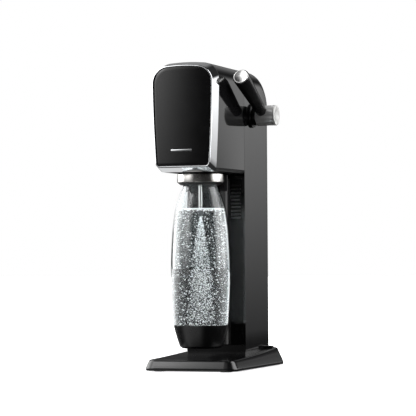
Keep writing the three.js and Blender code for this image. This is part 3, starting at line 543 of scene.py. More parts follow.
@dataclass(frozen=True)
class ClearFinish(Surface):
    """A see-through solid with a slow ripple on its surface."""

    roughness: float
    ior: float
    ripple: float = 9.0  # spacing of the ripple, mm
    relief: float = 0.03  # its height, mm

    def shader(self, tree: bpy.types.NodeTree, place: bpy.types.NodeSocket) -> bpy.types.Node:
        """Clear shader that bends the light, with the ripple as a bump."""
        wave = add_node(tree, "ShaderNodeTexNoise", {
            "Vector": place, "Scale": 1 / (self.ripple * MM), "Detail": 1.0,
        })
        bump = add_node(tree, "ShaderNodeBump", {
            "Height": wave.outputs["Fac"], "Distance": self.relief * MM, "Strength": 1.0,
        })
        return add_node(tree, "ShaderNodeBsdfPrincipled", {
            "Base Color": linear(self.colour), "Roughness": self.roughness, "IOR": self.ior,
            "Transmission Weight": 1.0, "Normal": bump.outputs[0],
        })


@dataclass(frozen=True)
class FizzFinish(Surface):
    """Gas in water: white, with a painted glow in place of the light that it scatters, the glow dimmer in
    some places.
    """

    glow: float
    thinnest: float  # opacity where it is thinnest
    thickest: float
    patch: float  # spacing of its patches, mm

    def shader(self, tree: bpy.types.NodeTree, place: bpy.types.NodeSocket) -> bpy.types.Node:
        """Shader with a painted glow, whose strength and opacity follow the patches."""
        cloud = add_node(tree, "ShaderNodeTexNoise", {
            "Vector": place, "Scale": 1 / (self.patch * MM), "Detail": 4.0, "Roughness": 0.65,
        })
        opacity = add_node(tree, "ShaderNodeMapRange", {
            "Value": cloud.outputs["Fac"], "From Min": 0.35, "From Max": 0.65,
            "To Min": self.thinnest, "To Max": self.thickest,
        })
        # painted glow: emission that stands in for the light the bubbles scatter, weaker in some patches
        glow = add_node(tree, "ShaderNodeMapRange", {
            "Value": cloud.outputs["Fac"], "From Min": 0.35, "From Max": 0.68,
            "To Min": self.glow * 0.25, "To Max": self.glow,
        })
        return add_node(tree, "ShaderNodeBsdfPrincipled", {
            "Base Color": linear(self.colour), "Roughness": 0.25, "IOR": WATER_IOR,
            "Alpha": opacity.outputs[0], "Emission Color": linear(self.colour),
            "Emission Strength": glow.outputs[0],
        })


WATER_IOR = 1.33

# Injection-moulded ABS from a polished mould: deep black, sharp reflections, a trace of orange peel.
GLOSS_ABS = Finish("gloss black ABS", "101011", 0.05, pitch=5.0, relief=0.002, tint="151516", uneven=0.015)
# The same ABS from a lightly blasted mould: dimmer, softer reflections.
INSERT_ABS = Finish("textured black ABS", "0d0d0e", 0.16, specular=0.22, pitch=1.0, relief=0.004,
                    tint="111112")
# ABS from a spark-eroded mould: an even fine grain, which spreads the highlights.
SATIN_ABS = Finish("satin black ABS", "121213", 0.30, pitch=0.6, relief=0.006, tint="171718")
# The base: a finer grain than the lever's, so that it mirrors what stands on it.
FOOT_ABS = Finish("fine-grained black ABS", "0f0f10", 0.17, pitch=0.8, relief=0.004, tint="131314",
                  uneven=0.03)
# The bottle's cup: a plain polished mould with the marks of handling, so the highlights have soft ends.
CUP_ABS = Finish("smooth black ABS", "0a0a0b", 0.24, pitch=0.8, relief=0.004, tint="0d0d0e")
# White ABS on the hub's end: bright, with a broad soft highlight.
WHITE_ABS = Finish("white ABS", "f2f2f0", 0.22, pitch=4.0, relief=0.004, tint="e9e9e7")
# Coated acrylic cover: the deepest black and an even, slightly blurred reflection.
PANEL_ACRYLIC = Finish("black acrylic panel", "0b0b0c", 0.13, pitch=6.0, relief=0.003, tint="0f0f10",
                       uneven=0.02)
# Glass-filled nylon: matt, with a coarser grain.
MATT_NYLON = Finish("matt black nylon", "0c0c0d", 0.42, pitch=0.7, relief=0.01, tint="111112")
GREY_NYLON = Finish("grey nylon", "5b5d60", 0.50, pitch=0.7, relief=0.02, tint="66686a")
# Bright chrome plating over ABS: a mirror, softened a little by the plastic under it.
CHROME = Finish("chrome plating", "e2e3e5", 0.07, metallic=1.0, pitch=5.0, relief=0.003, tint="d6d8da",
                uneven=0.02)
# Stainless steel brushed round its axis: fine rings that pull the highlights out sideways.
# The real rings are 0.1 mm apart; they are drawn coarser so that they show.
BRUSHED_STEEL = Finish(
    "brushed stainless steel", "c9c7c4", 0.24, metallic=1.0, grain=Grain.ROUND_Z, pitch=0.5, relief=0.012,
    tint="bdbbb8",
)
# Chrome plating, set mostly to scatter rather than to mirror: as a true mirror it shows the dark
# surroundings and turns black, where a studio's cards would keep it pale.
SATIN_CHROME = Finish("satin chrome", "fafafa", 0.12, metallic=0.15, pitch=0.5, relief=0.006, tint="d2d2d1")
# Blasted and anodised aluminium: an even pale sheen.
STEEL_FACE = Finish("satin aluminium", "c8c8c7", 0.30, metallic=1.0, pitch=0.4, relief=0.012, tint="cfcfce")
# Zinc plating on steel: grey, cloudy, its shine uneven from piece to piece.
ZINC = Finish("zinc-plated steel", "a9acae", 0.36, metallic=1.0, pitch=1.2, relief=0.01, tint="979a9d",
              uneven=0.1)
# Turned brass: warm, with a fine tool grain.
BRASS = Finish("machined brass", "c29a52", 0.28, metallic=1.0, pitch=0.4, relief=0.008, tint="ad8845")
# Powder coat on the cylinder: a fine orange peel.
PAINTED_STEEL = Finish("grey powder coat", "54575a", 0.48, pitch=1.4, relief=0.03, tint="5d6063")
# Moulded rubber: dull and dusty.
RUBBER = Finish("moulded rubber", "121212", 0.80, pitch=0.8, relief=0.03, tint="1c1c1c")
# Extruded tube: milky, with faint lengthwise lines.
TUBING = Finish("natural polyethylene", "d7d8d5", 0.38, pitch=1.0, relief=0.01, grain=Grain.ALONG_Z,
                tint="c8c9c6")
# Drawn tube: lengthwise lines under a clean shine.
STAINLESS_TUBE = Finish("drawn stainless tube", "d5d4d2", 0.18, metallic=1.0, grain=Grain.ALONG_Z, pitch=0.4,
                        relief=0.006, tint="c4c3c1")
# Blow-moulded PET: clear, with the slow ripple that blowing leaves. Real PET has an index of 1.57; the
# lower one keeps the edges of the thick-looking wall from turning white.
CLEAR_PET = ClearFinish("clear PET", "eceff0", 0.01, 1.36)
# Water: a full bottle is a strong lens, which turns the column behind it round.
WATER = ClearFinish("water", "f6fafa", 0.0, WATER_IOR, ripple=14.0, relief=0.02)
# Bubbles and froth: each one gives off a little light, in place of the many glints of real bubbles.
FIZZ_BUBBLES = FizzFinish("gas bubbles", "f4f6f7", glow=0.85, thinnest=0.95, thickest=1.0, patch=1.6)
FIZZ_FROTH = FizzFinish("froth", "fbfcfc", glow=1.0, thinnest=0.9, thickest=1.0, patch=2.5)


def show(piece: bpy.types.Object, finish: Surface, body: str, slot: str,
         *stands_for: str) -> bpy.types.Object:
    """Dresses a piece and ties it to the frame.

    Args:
        piece: the piece.
        finish: its surface.
        body: the frame body that it moves with.
        slot: name of the material slot that it belongs to; not used.
        stands_for: frame nodes that it replaces.

    Returns:
        The same piece.
    """
    piece.data.materials.clear()
    piece.data.materials.append(finish.build())
    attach(piece, body)
    if stands_for:
        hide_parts(*stands_for)
    log.info("%s: %s, rides on %s", piece.name, finish.name, body)
    return piece


def dress(node: str, finish: Finish, rounding: float = 0.25) -> None:
    """Gives a frame node that stays as it is its surface and eased edges.

    Args:
        node: the node's name.
        finish: its surface.
        rounding: width of its edge rounding, in millimetres.
    """
    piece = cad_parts[node]
    piece.data.materials.clear()
    piece.data.materials.append(finish.build())
    soften(piece, rounding, crease=32.0, segments=2)
    log.info("%s: %s, frame node", node, finish.name)


# ---------------------------------------------------------------- base


@dataclass
class Base:
    """Weighted foot of the machine: an upright lip, leaning flanks and a top that rises to the back."""

    width: float = 137.0
    depth: float = 226.6
    front_corner: float = 17.0
    rear_corner: float = 10.0
    lift: float = 1.2
    lip: float = 5.4
    slope: float = 0.44
    front_top: float = 16.2
    middle_top: float = 20.1
    rear_top: float = 26.4
    edge: float = 1.6  # rounding of the top edge
    pad_front_top: float = 24.0
    pad_rear_top: float = 26.6
    pad_half: float = 44.0
    column_front: float = 3.1
    column_rear: float = 110.0
    seat_bottom: float = 12.0
    kerb_half: float = 56.0
    kerb_front: float = 92.0
    kerb_rear: float = 105.5
    kerb_bottom: float = 14.0
    kerb_top: float = 28.4
    kerb_bevel: float = 1.4
    cover_thickness: float = 2.4
    foot_radius: float = 9.0

    def top_at(self, y: float) -> float:
        """Height of the hollow top at a depth."""
        share = (y + self.depth / 2) / self.depth
        sag = (self.front_top + self.rear_top) / 2 - self.middle_top
        return lerp(self.front_top, self.rear_top, share) - 4 * sag * share * (1 - share)

    def pad_at(self, y: float) -> float:
        """Height of the pad under the column at a depth."""
        share = (y - self.column_front) / (self.column_rear - self.column_front)
        return lerp(self.pad_front_top, self.pad_rear_top, share)

    def plan(self, margin: float) -> list[Point]:
        """Base seen from above, moved in by a margin, with extra points along its sides."""
        x, y = self.width / 2 - margin, self.depth / 2 - margin
        front, rear = max(self.front_corner - margin, 2), max(self.rear_corner - margin, 1)
        side = [lerp(-y + front, y - rear, i / 24) for i in range(1, 24)]
        return [
            *arc(x - front, front - y, front, -90, 0, 14), *[(x, s) for s in side],
            *arc(x - rear, y - rear, rear, 0, 90, 10), *arc(rear - x, y - rear, rear, 90, 180, 10),
            *[(-x, s) for s in reversed(side)], *arc(front - x, front - y, front, 180, 270, 14),
        ]

    def flank_ring(self, share: float, tuck: float = 0.0, drop: float = 0.0) -> Ring:
        """Ring up the flank.

        Args:
            share: 0 at the lip's edge, 1 at the top edge.
            tuck: how far it is moved in beyond the flank.
            drop: how far it lies under the top.

        Returns:
            The ring.
        """
        ring = []
        for i, (_, y) in enumerate(self.plan(0.0)):
            height = lerp(self.lip, self.top_at(y) - drop, share)
            lean = round(self.slope * (height - self.lip) + tuck, 2)
            ring.append(Vector((*self.plan(lean)[i], height)))
        return ring

    def plate(self) -> bpy.types.Object:
        """The moulded plate, open below for its underside cover."""
        e = self.edge
        rings = [
            at_z(self.plan(0.9), self.lift), at_z(self.plan(0.3), self.lift + 0.25),
            at_z(self.plan(0.0), self.lift + 0.9), at_z(self.plan(0.0), self.lip - 0.5),
            at_z(self.plan(0.06), self.lip), at_z(self.plan(0.3), self.lip + 0.5),
            *[self.flank_ring(s) for s in (0.15, 0.4, 0.65)],
            self.flank_ring(1.0, 0.0, e), self.flank_ring(1.0, 0.25 * e, 0.45 * e),
            self.flank_ring(1.0, 0.7 * e, 0.12 * e), self.flank_ring(1.0, 1.5 * e, 0.0),
        ]
        edge = rings[-1]
        for scale in (0.93, 0.82, 0.68, 0.5, 0.3, 0.08):
            rings.append([Vector((p.x * scale, p.y * scale, self.top_at(p.y * scale))) for p in edge])
        floor = self.lift + self.cover_thickness + GAP
        pocket = [at_z(self.plan(2.8), floor), at_z(self.plan(2.6), self.lift)]
        plate = loft("base_plate_shell", [*pocket, *rings])
        carve(plate, Cut.JOIN, self.seat(), self.kerb())
        return soften(plate, 0.35, crease=40)

    def seat(self) -> bpy.types.Object:
        """Raised pad that the column stands on."""
        front, rear = self.column_front + 1, self.column_rear - 7
        side = [(front, self.seat_bottom), (rear, self.seat_bottom), (rear, self.pad_at(rear)),
                (front, self.pad_at(front))]
        return prism("seat", Axis.X, side, -self.pad_half, self.pad_half)

    def kerb(self) -> bpy.types.Object:
        """Low rounded step round the column's back."""
        half, front, rear = self.kerb_half, self.kerb_front, self.kerb_rear
        outline = block(-half, front, half, rear, 1, 8)
        inner = block(-half + 1.5, front + 1, half - 1.5, rear - 1.5, 1, 7)
        kerb = loft("kerb", [at_z(outline, self.kerb_bottom), at_z(outline, self.kerb_top - self.kerb_bevel),
                             at_z(inner, self.kerb_top)])
        room = prism("column room", Axis.Z, block(-45.3, 0, 45.3, 120), 24.4, 40)
        return carve(kerb, Cut.REMOVE, room)

    def foot(self, where: str) -> bpy.types.Object:
        """Round rubber foot with a bevelled sole, where the frame has it."""
        low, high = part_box(f"foot_{where}")
        centre = (low + high) / 2 / MM
        radius, top = self.foot_radius, high.z / MM
        profile = eased([(0, 0), (radius - 0.8, 0), (radius, 0.6), (radius, top), (0, top)], 0.3)
        pad = turned(f"foot_{where}_rubber", profile, centre=Vector((centre.x, centre.y, 0)), steps=48)
        return soften(pad, 0)

    def build(self) -> None:
        """Builds and dresses the base."""
        show(self.plate(), FOOT_ABS, "root", "satin_black_abs", "base_plate")
        dress("base_underside_cover", MATT_NYLON, 0.3)
        for foot in ("centre", "front_left", "front_right", "rear_left", "rear_right"):
            show(self.foot(foot), RUBBER, "root", "rubber", f"foot_{foot}")
        for corner in ("front_left", "front_right", "rear_left", "rear_right"):
            dress(f"base_screw_{corner}", ZINC, 0.15)
        for side in ("left", "right"):
            dress(f"column_screw_{side}", ZINC, 0.15)


# ---------------------------------------------------------------- column


@dataclass
class Column:
    """The black box behind the bottle: its shell, the front insert and the cover at the back."""

    base: Base
    lever: "Lever"
    half: float = 45.0
    height: float = 432.5
    top_radius: float = 24.0
    front: float = 3.1
    rear: float = 110.0
    rear_top_radius: float = 38.0
    rear_corner: float = 4.0
    cover_front: float = 101.0
    cover_top: float = 390.0
    insert_half: float = 41.0
    insert_bottom: float = 34.0
    insert_top: float = 272.0
    channel_half: float = 22.0
    channel_depth: float = 9.0
    rib_pitch: float = 5.2
    rib_height: float = 2.4
    rib_count: int = 10
    rib_stand: float = 0.6
    head_seam: float = 284.0
    passage_half: float = 39.0

    def form(self, name: str, margin: float) -> bpy.types.Object:
        """The column's outer form, moved in by a margin.

        Args:
            name: name of the object.
            margin: how far every face is moved in.

        Returns:
            The closed form.
        """
        radius, rear = self.rear_top_radius - margin, self.rear - margin
        turns = [math.radians(a) for a in range(0, 91, 5)]
        depths = [self.front + margin, self.front + 30, self.rear - self.rear_top_radius]
        depths += [rear - radius + radius * math.sin(t) for t in turns[1:]]
        rings = []
        for y in depths:
            beyond = max(y - (rear - radius), 0.0)
            drop = radius - math.sqrt(max(radius ** 2 - beyond ** 2, 0.0))
            corner = max(self.rear_corner - margin, 1.0)
            over = max(y - (rear - corner), 0.0)
            tuck = corner - math.sqrt(max(corner ** 2 - over ** 2, 0.0))
            half = self.half - margin - tuck
            face = Face(half, half, self.base.pad_at(y) + GAP + margin, self.height - margin - drop,
                        self.top_radius - margin, 0.5)
            rings.append(at_y(face.outline(), y))
        return loft(name, rings)

    def shell(self) -> bpy.types.Object:
        """Outer shell with the openings for the insert, the head, the lever and the rear cover."""
        shell = self.form("column_shell_moulding", 0.0)
        back = self.cover_front - GAP
        tools = [
            self.form("inside", WALL),
            prism("rear opening", Axis.Y, block(-46, 0, 46, self.cover_top + GAP), back, self.rear + 1),
            prism("insert opening", Axis.Y, block(-self.insert_half - GAP, self.insert_bottom - GAP,
                  self.insert_half + GAP, self.insert_top + GAP), 0, self.front + WALL + 1),
            prism("passage", Axis.Y, block(-self.passage_half, self.head_seam + 8, self.passage_half,
                  self.height - 10, 8), 0, self.front + WALL + 1),
            prism("lever hole", Axis.X, arc(self.lever.y, self.lever.z, self.lever.bush_radius + GAP,
                  0, 360, 48)[:-1], self.half - 5, self.half + 1),
        ]
        return soften(carve(shell, Cut.REMOVE, *tools), 0.35)

    def insert(self) -> bpy.types.Object:
        """Front insert: a hollow channel down the middle; the ribs beside its top are a piece of their own.
        """
        half, edge = self.insert_half, self.channel_half
        radius = (edge ** 2 + self.channel_depth ** 2) / (2 * self.channel_depth)
        centre = self.front + self.channel_depth - radius
        sweep = math.degrees(math.asin(edge / radius))
        back = self.front + WALL
        plan = [
            (-half, self.front), *arc(0, centre, radius, 90 + sweep, 90 - sweep, 40), (half, self.front),
            (half, back), (edge + 1, back), *arc(0, centre, radius + WALL, 90 - sweep, 90 + sweep, 40),
            (-edge - 1, back), (-half, back),
        ]
        insert = prism("column_insert_moulding", Axis.Z, plan, self.insert_bottom, self.insert_top)
        return soften(insert, 0.3, crease=30)

    def ribs(self) -> bpy.types.Object:
        """The ribs, as one piece of separate bars."""
        bars = []
        for i in range(self.rib_count):
            z = self.insert_top - 8 - i * self.rib_pitch - self.rib_height / 2
            for side in (-1, 1):
                x = side * (self.channel_half + self.insert_half) / 2
                reach = (self.insert_half - self.channel_half) / 2 - 2
                outline = block(x - reach, z - self.rib_height / 2, x + reach, z + self.rib_height / 2,
                                self.rib_height / 2 - 0.1, steps=5)
                bars.append(prism("bar", Axis.Y, outline, self.front - self.rib_stand, self.front + 0.4))
        return soften(join("column_insert_ribs", bars), 0.25)

    def rear_cover(self) -> bpy.types.Object:
        """Cover that comes off to reach the gas cylinder."""
        cover = self.form("rear_cover_moulding", 0.0)
        keep = prism("keep", Axis.Y, block(-46, 0, 46, self.cover_top), self.cover_front, self.rear + 1)
        carve(cover, Cut.KEEP_INSIDE, keep)
        hollow = self.form("hollow", WALL)
        carve(hollow, Cut.KEEP_INSIDE, prism(
            "room", Axis.Y, block(-46, 0, 46, self.cover_top - WALL), self.cover_front - 1, self.rear,
        ))
        return soften(carve(cover, Cut.REMOVE, hollow), 0.35)

    def build(self) -> None:
        """Builds and dresses the column."""
        show(self.shell(), GLOSS_ABS, "root", "gloss_black_abs", "column_shell")
        show(self.insert(), INSERT_ABS, "root", "satin_black_abs", "column_insert")
        show(self.ribs(), SATIN_ABS, "root", "satin_black_abs")
        show(self.rear_cover(), GLOSS_ABS, "rear_cover", "satin_black_abs", "rear_cover")


# ---------------------------------------------------------------- head


Line = Callable[[Face, float], list[Point]]  # a line of a face, moved in by a margin


@dataclass
class Head:
    """The overhanging head: shell, underside tray, chrome bezel, black panel and its mark."""

    front: float = -130.7
    bottom: float = 279.0
    seam: float = 284.0
    height: float = 432.5
    bezel_depth: float = 22.7
    bezel_lip: float = 1.8
    rear: float = 3.1
    bezel: Face = Face(half=46.4, bottom_half=41.7, bottom=279.0, top=432.5, top_radius=24.0,
                       bottom_radius=5.0)
    back: Face = Face(half=45.0, bottom_half=45.0, bottom=279.0, top=432.5, top_radius=24.0,
                      bottom_radius=5.0)
    panel: Face = Face(half=42.9, bottom_half=38.5, bottom=286.6, top=425.2, top_radius=22.0,
                       bottom_radius=5.0)
    panel_recess: float = 0.5
    panel_thickness: float = 3.4
    panel_ledge: float = 2.0
    bulge_across: float = 1.5  # how far the panel's sides fall back behind its middle
    bulge_up: float = 0.5
    badge: tuple[float, float, float, float] = (-2.0, 308.5, 31.0, 2.4)  # x, z, width, height
    mouth: tuple[float, float, float, float] = (34.4, -102.5, -9.0, 14.0)  # half width, front, rear, corner

    @property
    def bezel_rear(self) -> float:
        """Depth at which the bezel meets the shell."""
        return self.front + self.bezel_depth

    def stations(self, margin: float, part: Line) -> list[tuple[float, list[Point]]]:
        """Depths and lines of the head between its bezel and the column.

        Args:
            margin: how far the lines are moved in.
            part: which line of a face is wanted.

        Returns:
            Pairs of depth and line.
        """
        start, end = self.bezel_rear + GAP, self.rear - GAP
        lines = []
        for i in range(9):
            share = i / 8
            face = Face(lerp(self.bezel.half, self.back.half, share),
                        lerp(self.bezel.bottom_half, self.back.bottom_half, share),
                        self.bottom, self.height, self.bezel.top_radius, self.bezel.bottom_radius)
            lines.append((lerp(start, end, share), part(face, margin)))
        return lines

    def band(self, name: str, part: Line) -> bpy.types.Object:
        """A wall of the head that follows one line of its face."""
        outer, inner = self.stations(0.0, part), self.stations(WALL, part)
        return loft(name, [at_y([*line, *reversed(lining)], y)
                           for (y, line), (_, lining) in zip(outer, inner)])

    def shell(self) -> bpy.types.Object:
        """Top and flanks of the head."""
        return soften(self.band("head_shell_moulding", Face.upper), 0.4)

    def underside(self) -> bpy.types.Object:
        """Tray under the head, open for the bottle holder."""
        def low_line(face: Face, margin: float) -> list[Point]:
            """Bottom line of the face, kept clear of the seam."""
            return [(x, min(z, self.seam - GAP)) for x, z in face.lower(margin)]

        tray = self.band("head_underside_tray", low_line)
        half, front, rear, corner = self.mouth
        mouth = prism("mouth", Axis.Z, block(-half, front, half, rear, corner), self.bottom - 1, self.seam)
        return soften(carve(tray, Cut.REMOVE, mouth), 0.35)

    def bezel_ring(self) -> bpy.types.Object:
        """Chrome bezel: a rolled front lip round the panel and a band that widens to the shell."""
        lip = self.panel.outline(-self.bezel_lip)
        back = self.bezel.outline()
        front, panel_back = self.front, self.front + self.panel_recess + self.panel_thickness

        def flank(depth: float, tuck: float = 0.0) -> Ring:
            """Ring on the outer band at a depth behind the front."""
            share = depth / self.bezel_depth
            inner = self.panel.outline(tuck - self.bezel_lip)
            return [Vector((lerp(a[0], b[0], share), front + depth, lerp(a[1], b[1], share)))
                    for a, b in zip(inner if tuck else lip, back)]

        rings = [
            flank(self.bezel_depth), flank(self.bezel_depth - 0.5), flank(12.0), flank(3.0), flank(1.2),
            flank(0.6, 0.12), flank(0.25, 0.4), flank(0.06, 0.75), flank(0.0, 1.1),
            at_y(self.panel.outline(-GAP - 0.25), front), at_y(self.panel.outline(-GAP - 0.06), front + 0.1),
            at_y(self.panel.outline(-GAP), front + 0.4), at_y(self.panel.outline(-GAP), panel_back + GAP),
            at_y(self.panel.outline(self.panel_ledge), panel_back + GAP),
            at_y(self.panel.outline(self.panel_ledge), self.bezel_rear),
        ]
        return soften(loft("chrome_bezel_ring", rings, endless=True), 0, crease=50)

    def panel_depth(self, x: float, z: float) -> float:
        """Depth of the panel's bulging front at a place."""
        middle = (self.panel.bottom + self.panel.top) / 2
        across, up = x / self.panel.half, (z - middle) / (self.panel.top - middle)
        return self.front + self.panel_recess + self.bulge_across * across ** 2 + self.bulge_up * up ** 2

    def front_panel(self) -> bpy.types.Object:
        """Black panel, slightly bulging."""
        back = self.front + self.panel_recess + self.panel_thickness
        edge = self.panel.outline()
        middle = (self.panel.bottom + self.panel.top) / 2
        rings = [at_y(self.panel.outline(0.4), back), at_y(edge, back - 0.3)]
        for tuck, sink in ((0.0, 0.7), (0.12, 0.3), (0.4, 0.08), (0.8, 0.0)):
            rings.append([Vector((x, self.panel_depth(x, z) + sink, z)) for x, z in self.panel.outline(tuck)])
        inner = self.panel.outline(0.8)
        for i in range(1, 16):
            scale = 1 - i / 16
            spots = [(x * scale, middle + (z - middle) * scale) for x, z in inner]
            rings.append([Vector((x, self.panel_depth(x, z), z)) for x, z in spots])
        return soften(loft("front_panel_cover", rings), 0, crease=60)

    def mark(self) -> bpy.types.Object:
        """Plain bar on the panel."""
        x, z, width, height = self.badge
        rings = []
        for margin, sink in ((0.0, 0.8), (0.0, -0.1), (0.15, -0.22), (0.4, -0.26)):
            outline = block(x - width / 2 + margin, z - height / 2 + margin, x + width / 2 - margin,
                            z + height / 2 - margin, height / 2 - margin - 0.05)
            rings.append([Vector((a, self.panel_depth(a, b) + sink, b)) for a, b in outline])
        return soften(loft("panel_badge_bar", rings), 0, crease=60)

    def build(self) -> None:
        """Builds and dresses the head."""
        show(self.shell(), GLOSS_ABS, "root", "gloss_black_abs", "head_shell")
        show(self.underside(), MATT_NYLON, "root", "matt_black_abs", "head_underside")
        show(self.bezel_ring(), CHROME, "root", "chrome_plate", "chrome_bezel")
        show(self.front_panel(), PANEL_ACRYLIC, "root", "panel_black", "front_panel")
        show(self.mark(), CHROME, "root", "chrome_plate", "panel_badge")


# ---------------------------------------------------------------- lever


@dataclass
class Lever:
    """The carbonating lever: its bush, hub and grip, with the shaft and cam inside."""

    y: float = 37.3
    z: float = 364.5
    flange_from: float = 45.3
    flange_radius: float = 17.3
    flange_thickness: float = 2.7
    bore: float = 5.3
    bush_radius: float = 7.7
    hub_radius: float = 14.7
    collar_end: float = 54.0
    sleeve_end: float = 81.0
    hub_end: float = 83.2
    handle_x: float = 63.5
    length: float = 113.5
    lift: float = 25.7
    tip_radius: float = 12.0
    root_radius: float = 7.6
    disc_radius: float = 10.9
    disc_thickness: float = 1.6

    @property
    def centre(self) -> Vector:
        """Point on the shaft's axis in the middle of the machine."""
        return Vector((0, self.y, self.z))

    def on_shaft(self, name: str, profile: Profile, ease: float = 0.4) -> bpy.types.Object:
        """Ring turned on the shaft's axis, with eased edges."""
        return soften(turned(name, eased(profile, ease, closed=True), Axis.X, self.centre), 0, crease=50)

    def lean(self, piece: bpy.types.Object) -> bpy.types.Object:
        """Moves a piece made round the vertical onto the handle's line."""
        turn = Euler((math.radians(90 - self.lift), 0, 0)).to_matrix().to_4x4()
        shift = Matrix.Translation(Vector((self.handle_x, self.y, self.z)) * MM)
        piece.data.transform(shift @ turn)
        return piece

    def grip(self) -> bpy.types.Object:
        """Tapering grip with a rounded root that saddles the hub."""
        tip = self.length - self.disc_thickness
        root = self.hub_radius - 4
        profile = [
            (0, root), (self.root_radius, root), (self.root_radius + 0.2, root + 5),
            (lerp(self.root_radius, self.tip_radius, 0.5), lerp(root, tip, 0.5)),
            (self.tip_radius, tip - 1.2), *arc(self.tip_radius - 1.2, tip - 1.2, 1.2, 0, 90, 6)[1:],
            (self.disc_radius + GAP, tip), (self.disc_radius + GAP, tip - 1), (0, tip - 1),
        ]
        grip = self.lean(turned("handle_grip_moulding", profile))
        seat = prism("seat", Axis.X, arc(self.y, self.z, self.hub_radius + GAP, 0, 360, 96)[:-1],
                     self.handle_x - 20, self.handle_x + 20)
        return soften(carve(grip, Cut.REMOVE, seat), 0.4, crease=40)

    def disc(self) -> bpy.types.Object:
        """Silver disc let into the grip's end."""
        start = self.length - self.disc_thickness - 1 + GAP
        edge = self.disc_radius
        profile = [
            (0, start), (edge, start), (edge, self.length - 0.9), (edge - 0.25, self.length - 0.35),
            (edge - 0.9, self.length), (edge - 1.6, self.length), (edge - 1.9, self.length - 0.25),
            (0, self.length - 0.25),
        ]
        return soften(self.lean(turned("handle_end_disc_plate", profile)), 0, crease=40)

    def build(self) -> None:
        """Builds and dresses the lever."""
        start, end = self.flange_from, self.flange_from + self.flange_thickness
        bush = self.on_shaft("lever_flange_bush_moulding", [
            (self.bore, 31), (self.bush_radius, 31), (self.bush_radius, start), (self.flange_radius, start),
            (self.flange_radius, end), (self.flange_radius - 1.6, end), (self.flange_radius - 1.9, end - 0.4),
            (self.flange_radius - 2.3, end - 0.4), (self.flange_radius - 2.6, end), (self.bore, end),
        ])
        show(bush, SATIN_ABS, "root", "satin_black_abs", "lever_flange_bush")
        r = self.hub_radius
        collar = self.on_shaft("hub_collar_moulding", [
            (self.bore, end + GAP), (r - 0.9, end + GAP), (r - 0.9, self.collar_end),
            (self.bore, self.collar_end),
        ])
        show(collar, GLOSS_ABS, "lever", "satin_black_abs", "hub_collar")
        sleeve = self.on_shaft("hub_sleeve_chrome", [
            (self.bore, self.collar_end + GAP), (r, self.collar_end + GAP), (r, self.sleeve_end),
            (self.bore, self.sleeve_end),
        ])
        show(sleeve, SATIN_CHROME, "lever", "chrome_plate", "hub_sleeve")
        face = self.hub_end
        cap = soften(turned("hub_end_cap_moulding", [
            (0, self.sleeve_end + GAP), (r - 0.2, self.sleeve_end + GAP), (r, self.sleeve_end + 0.6),
            *arc(r - 1.4, face - 1.4, 1.4, 0, 90, 6), (r - 7.5, face), (r - 8.1, face - 0.5),
            (r - 8.7, face - 0.6), (0, face - 0.6),
        ], Axis.X, self.centre), 0, crease=50)
        show(cap, WHITE_ABS, "lever", "white_cap", "hub_end_cap")
        show(self.grip(), SATIN_ABS, "lever", "satin_black_abs", "handle_grip")
        show(self.disc(), STEEL_FACE, "lever", "brushed_steel", "handle_end_disc")
        for node, finish in (
            ("lever_shaft", ZINC), ("lever_cam", ZINC), ("lever_return_spring", ZINC),
            ("lever_bush_left", GREY_NYLON),
        ):
            dress(node, finish)


# ---------------------------------------------------------------- bottle and holder


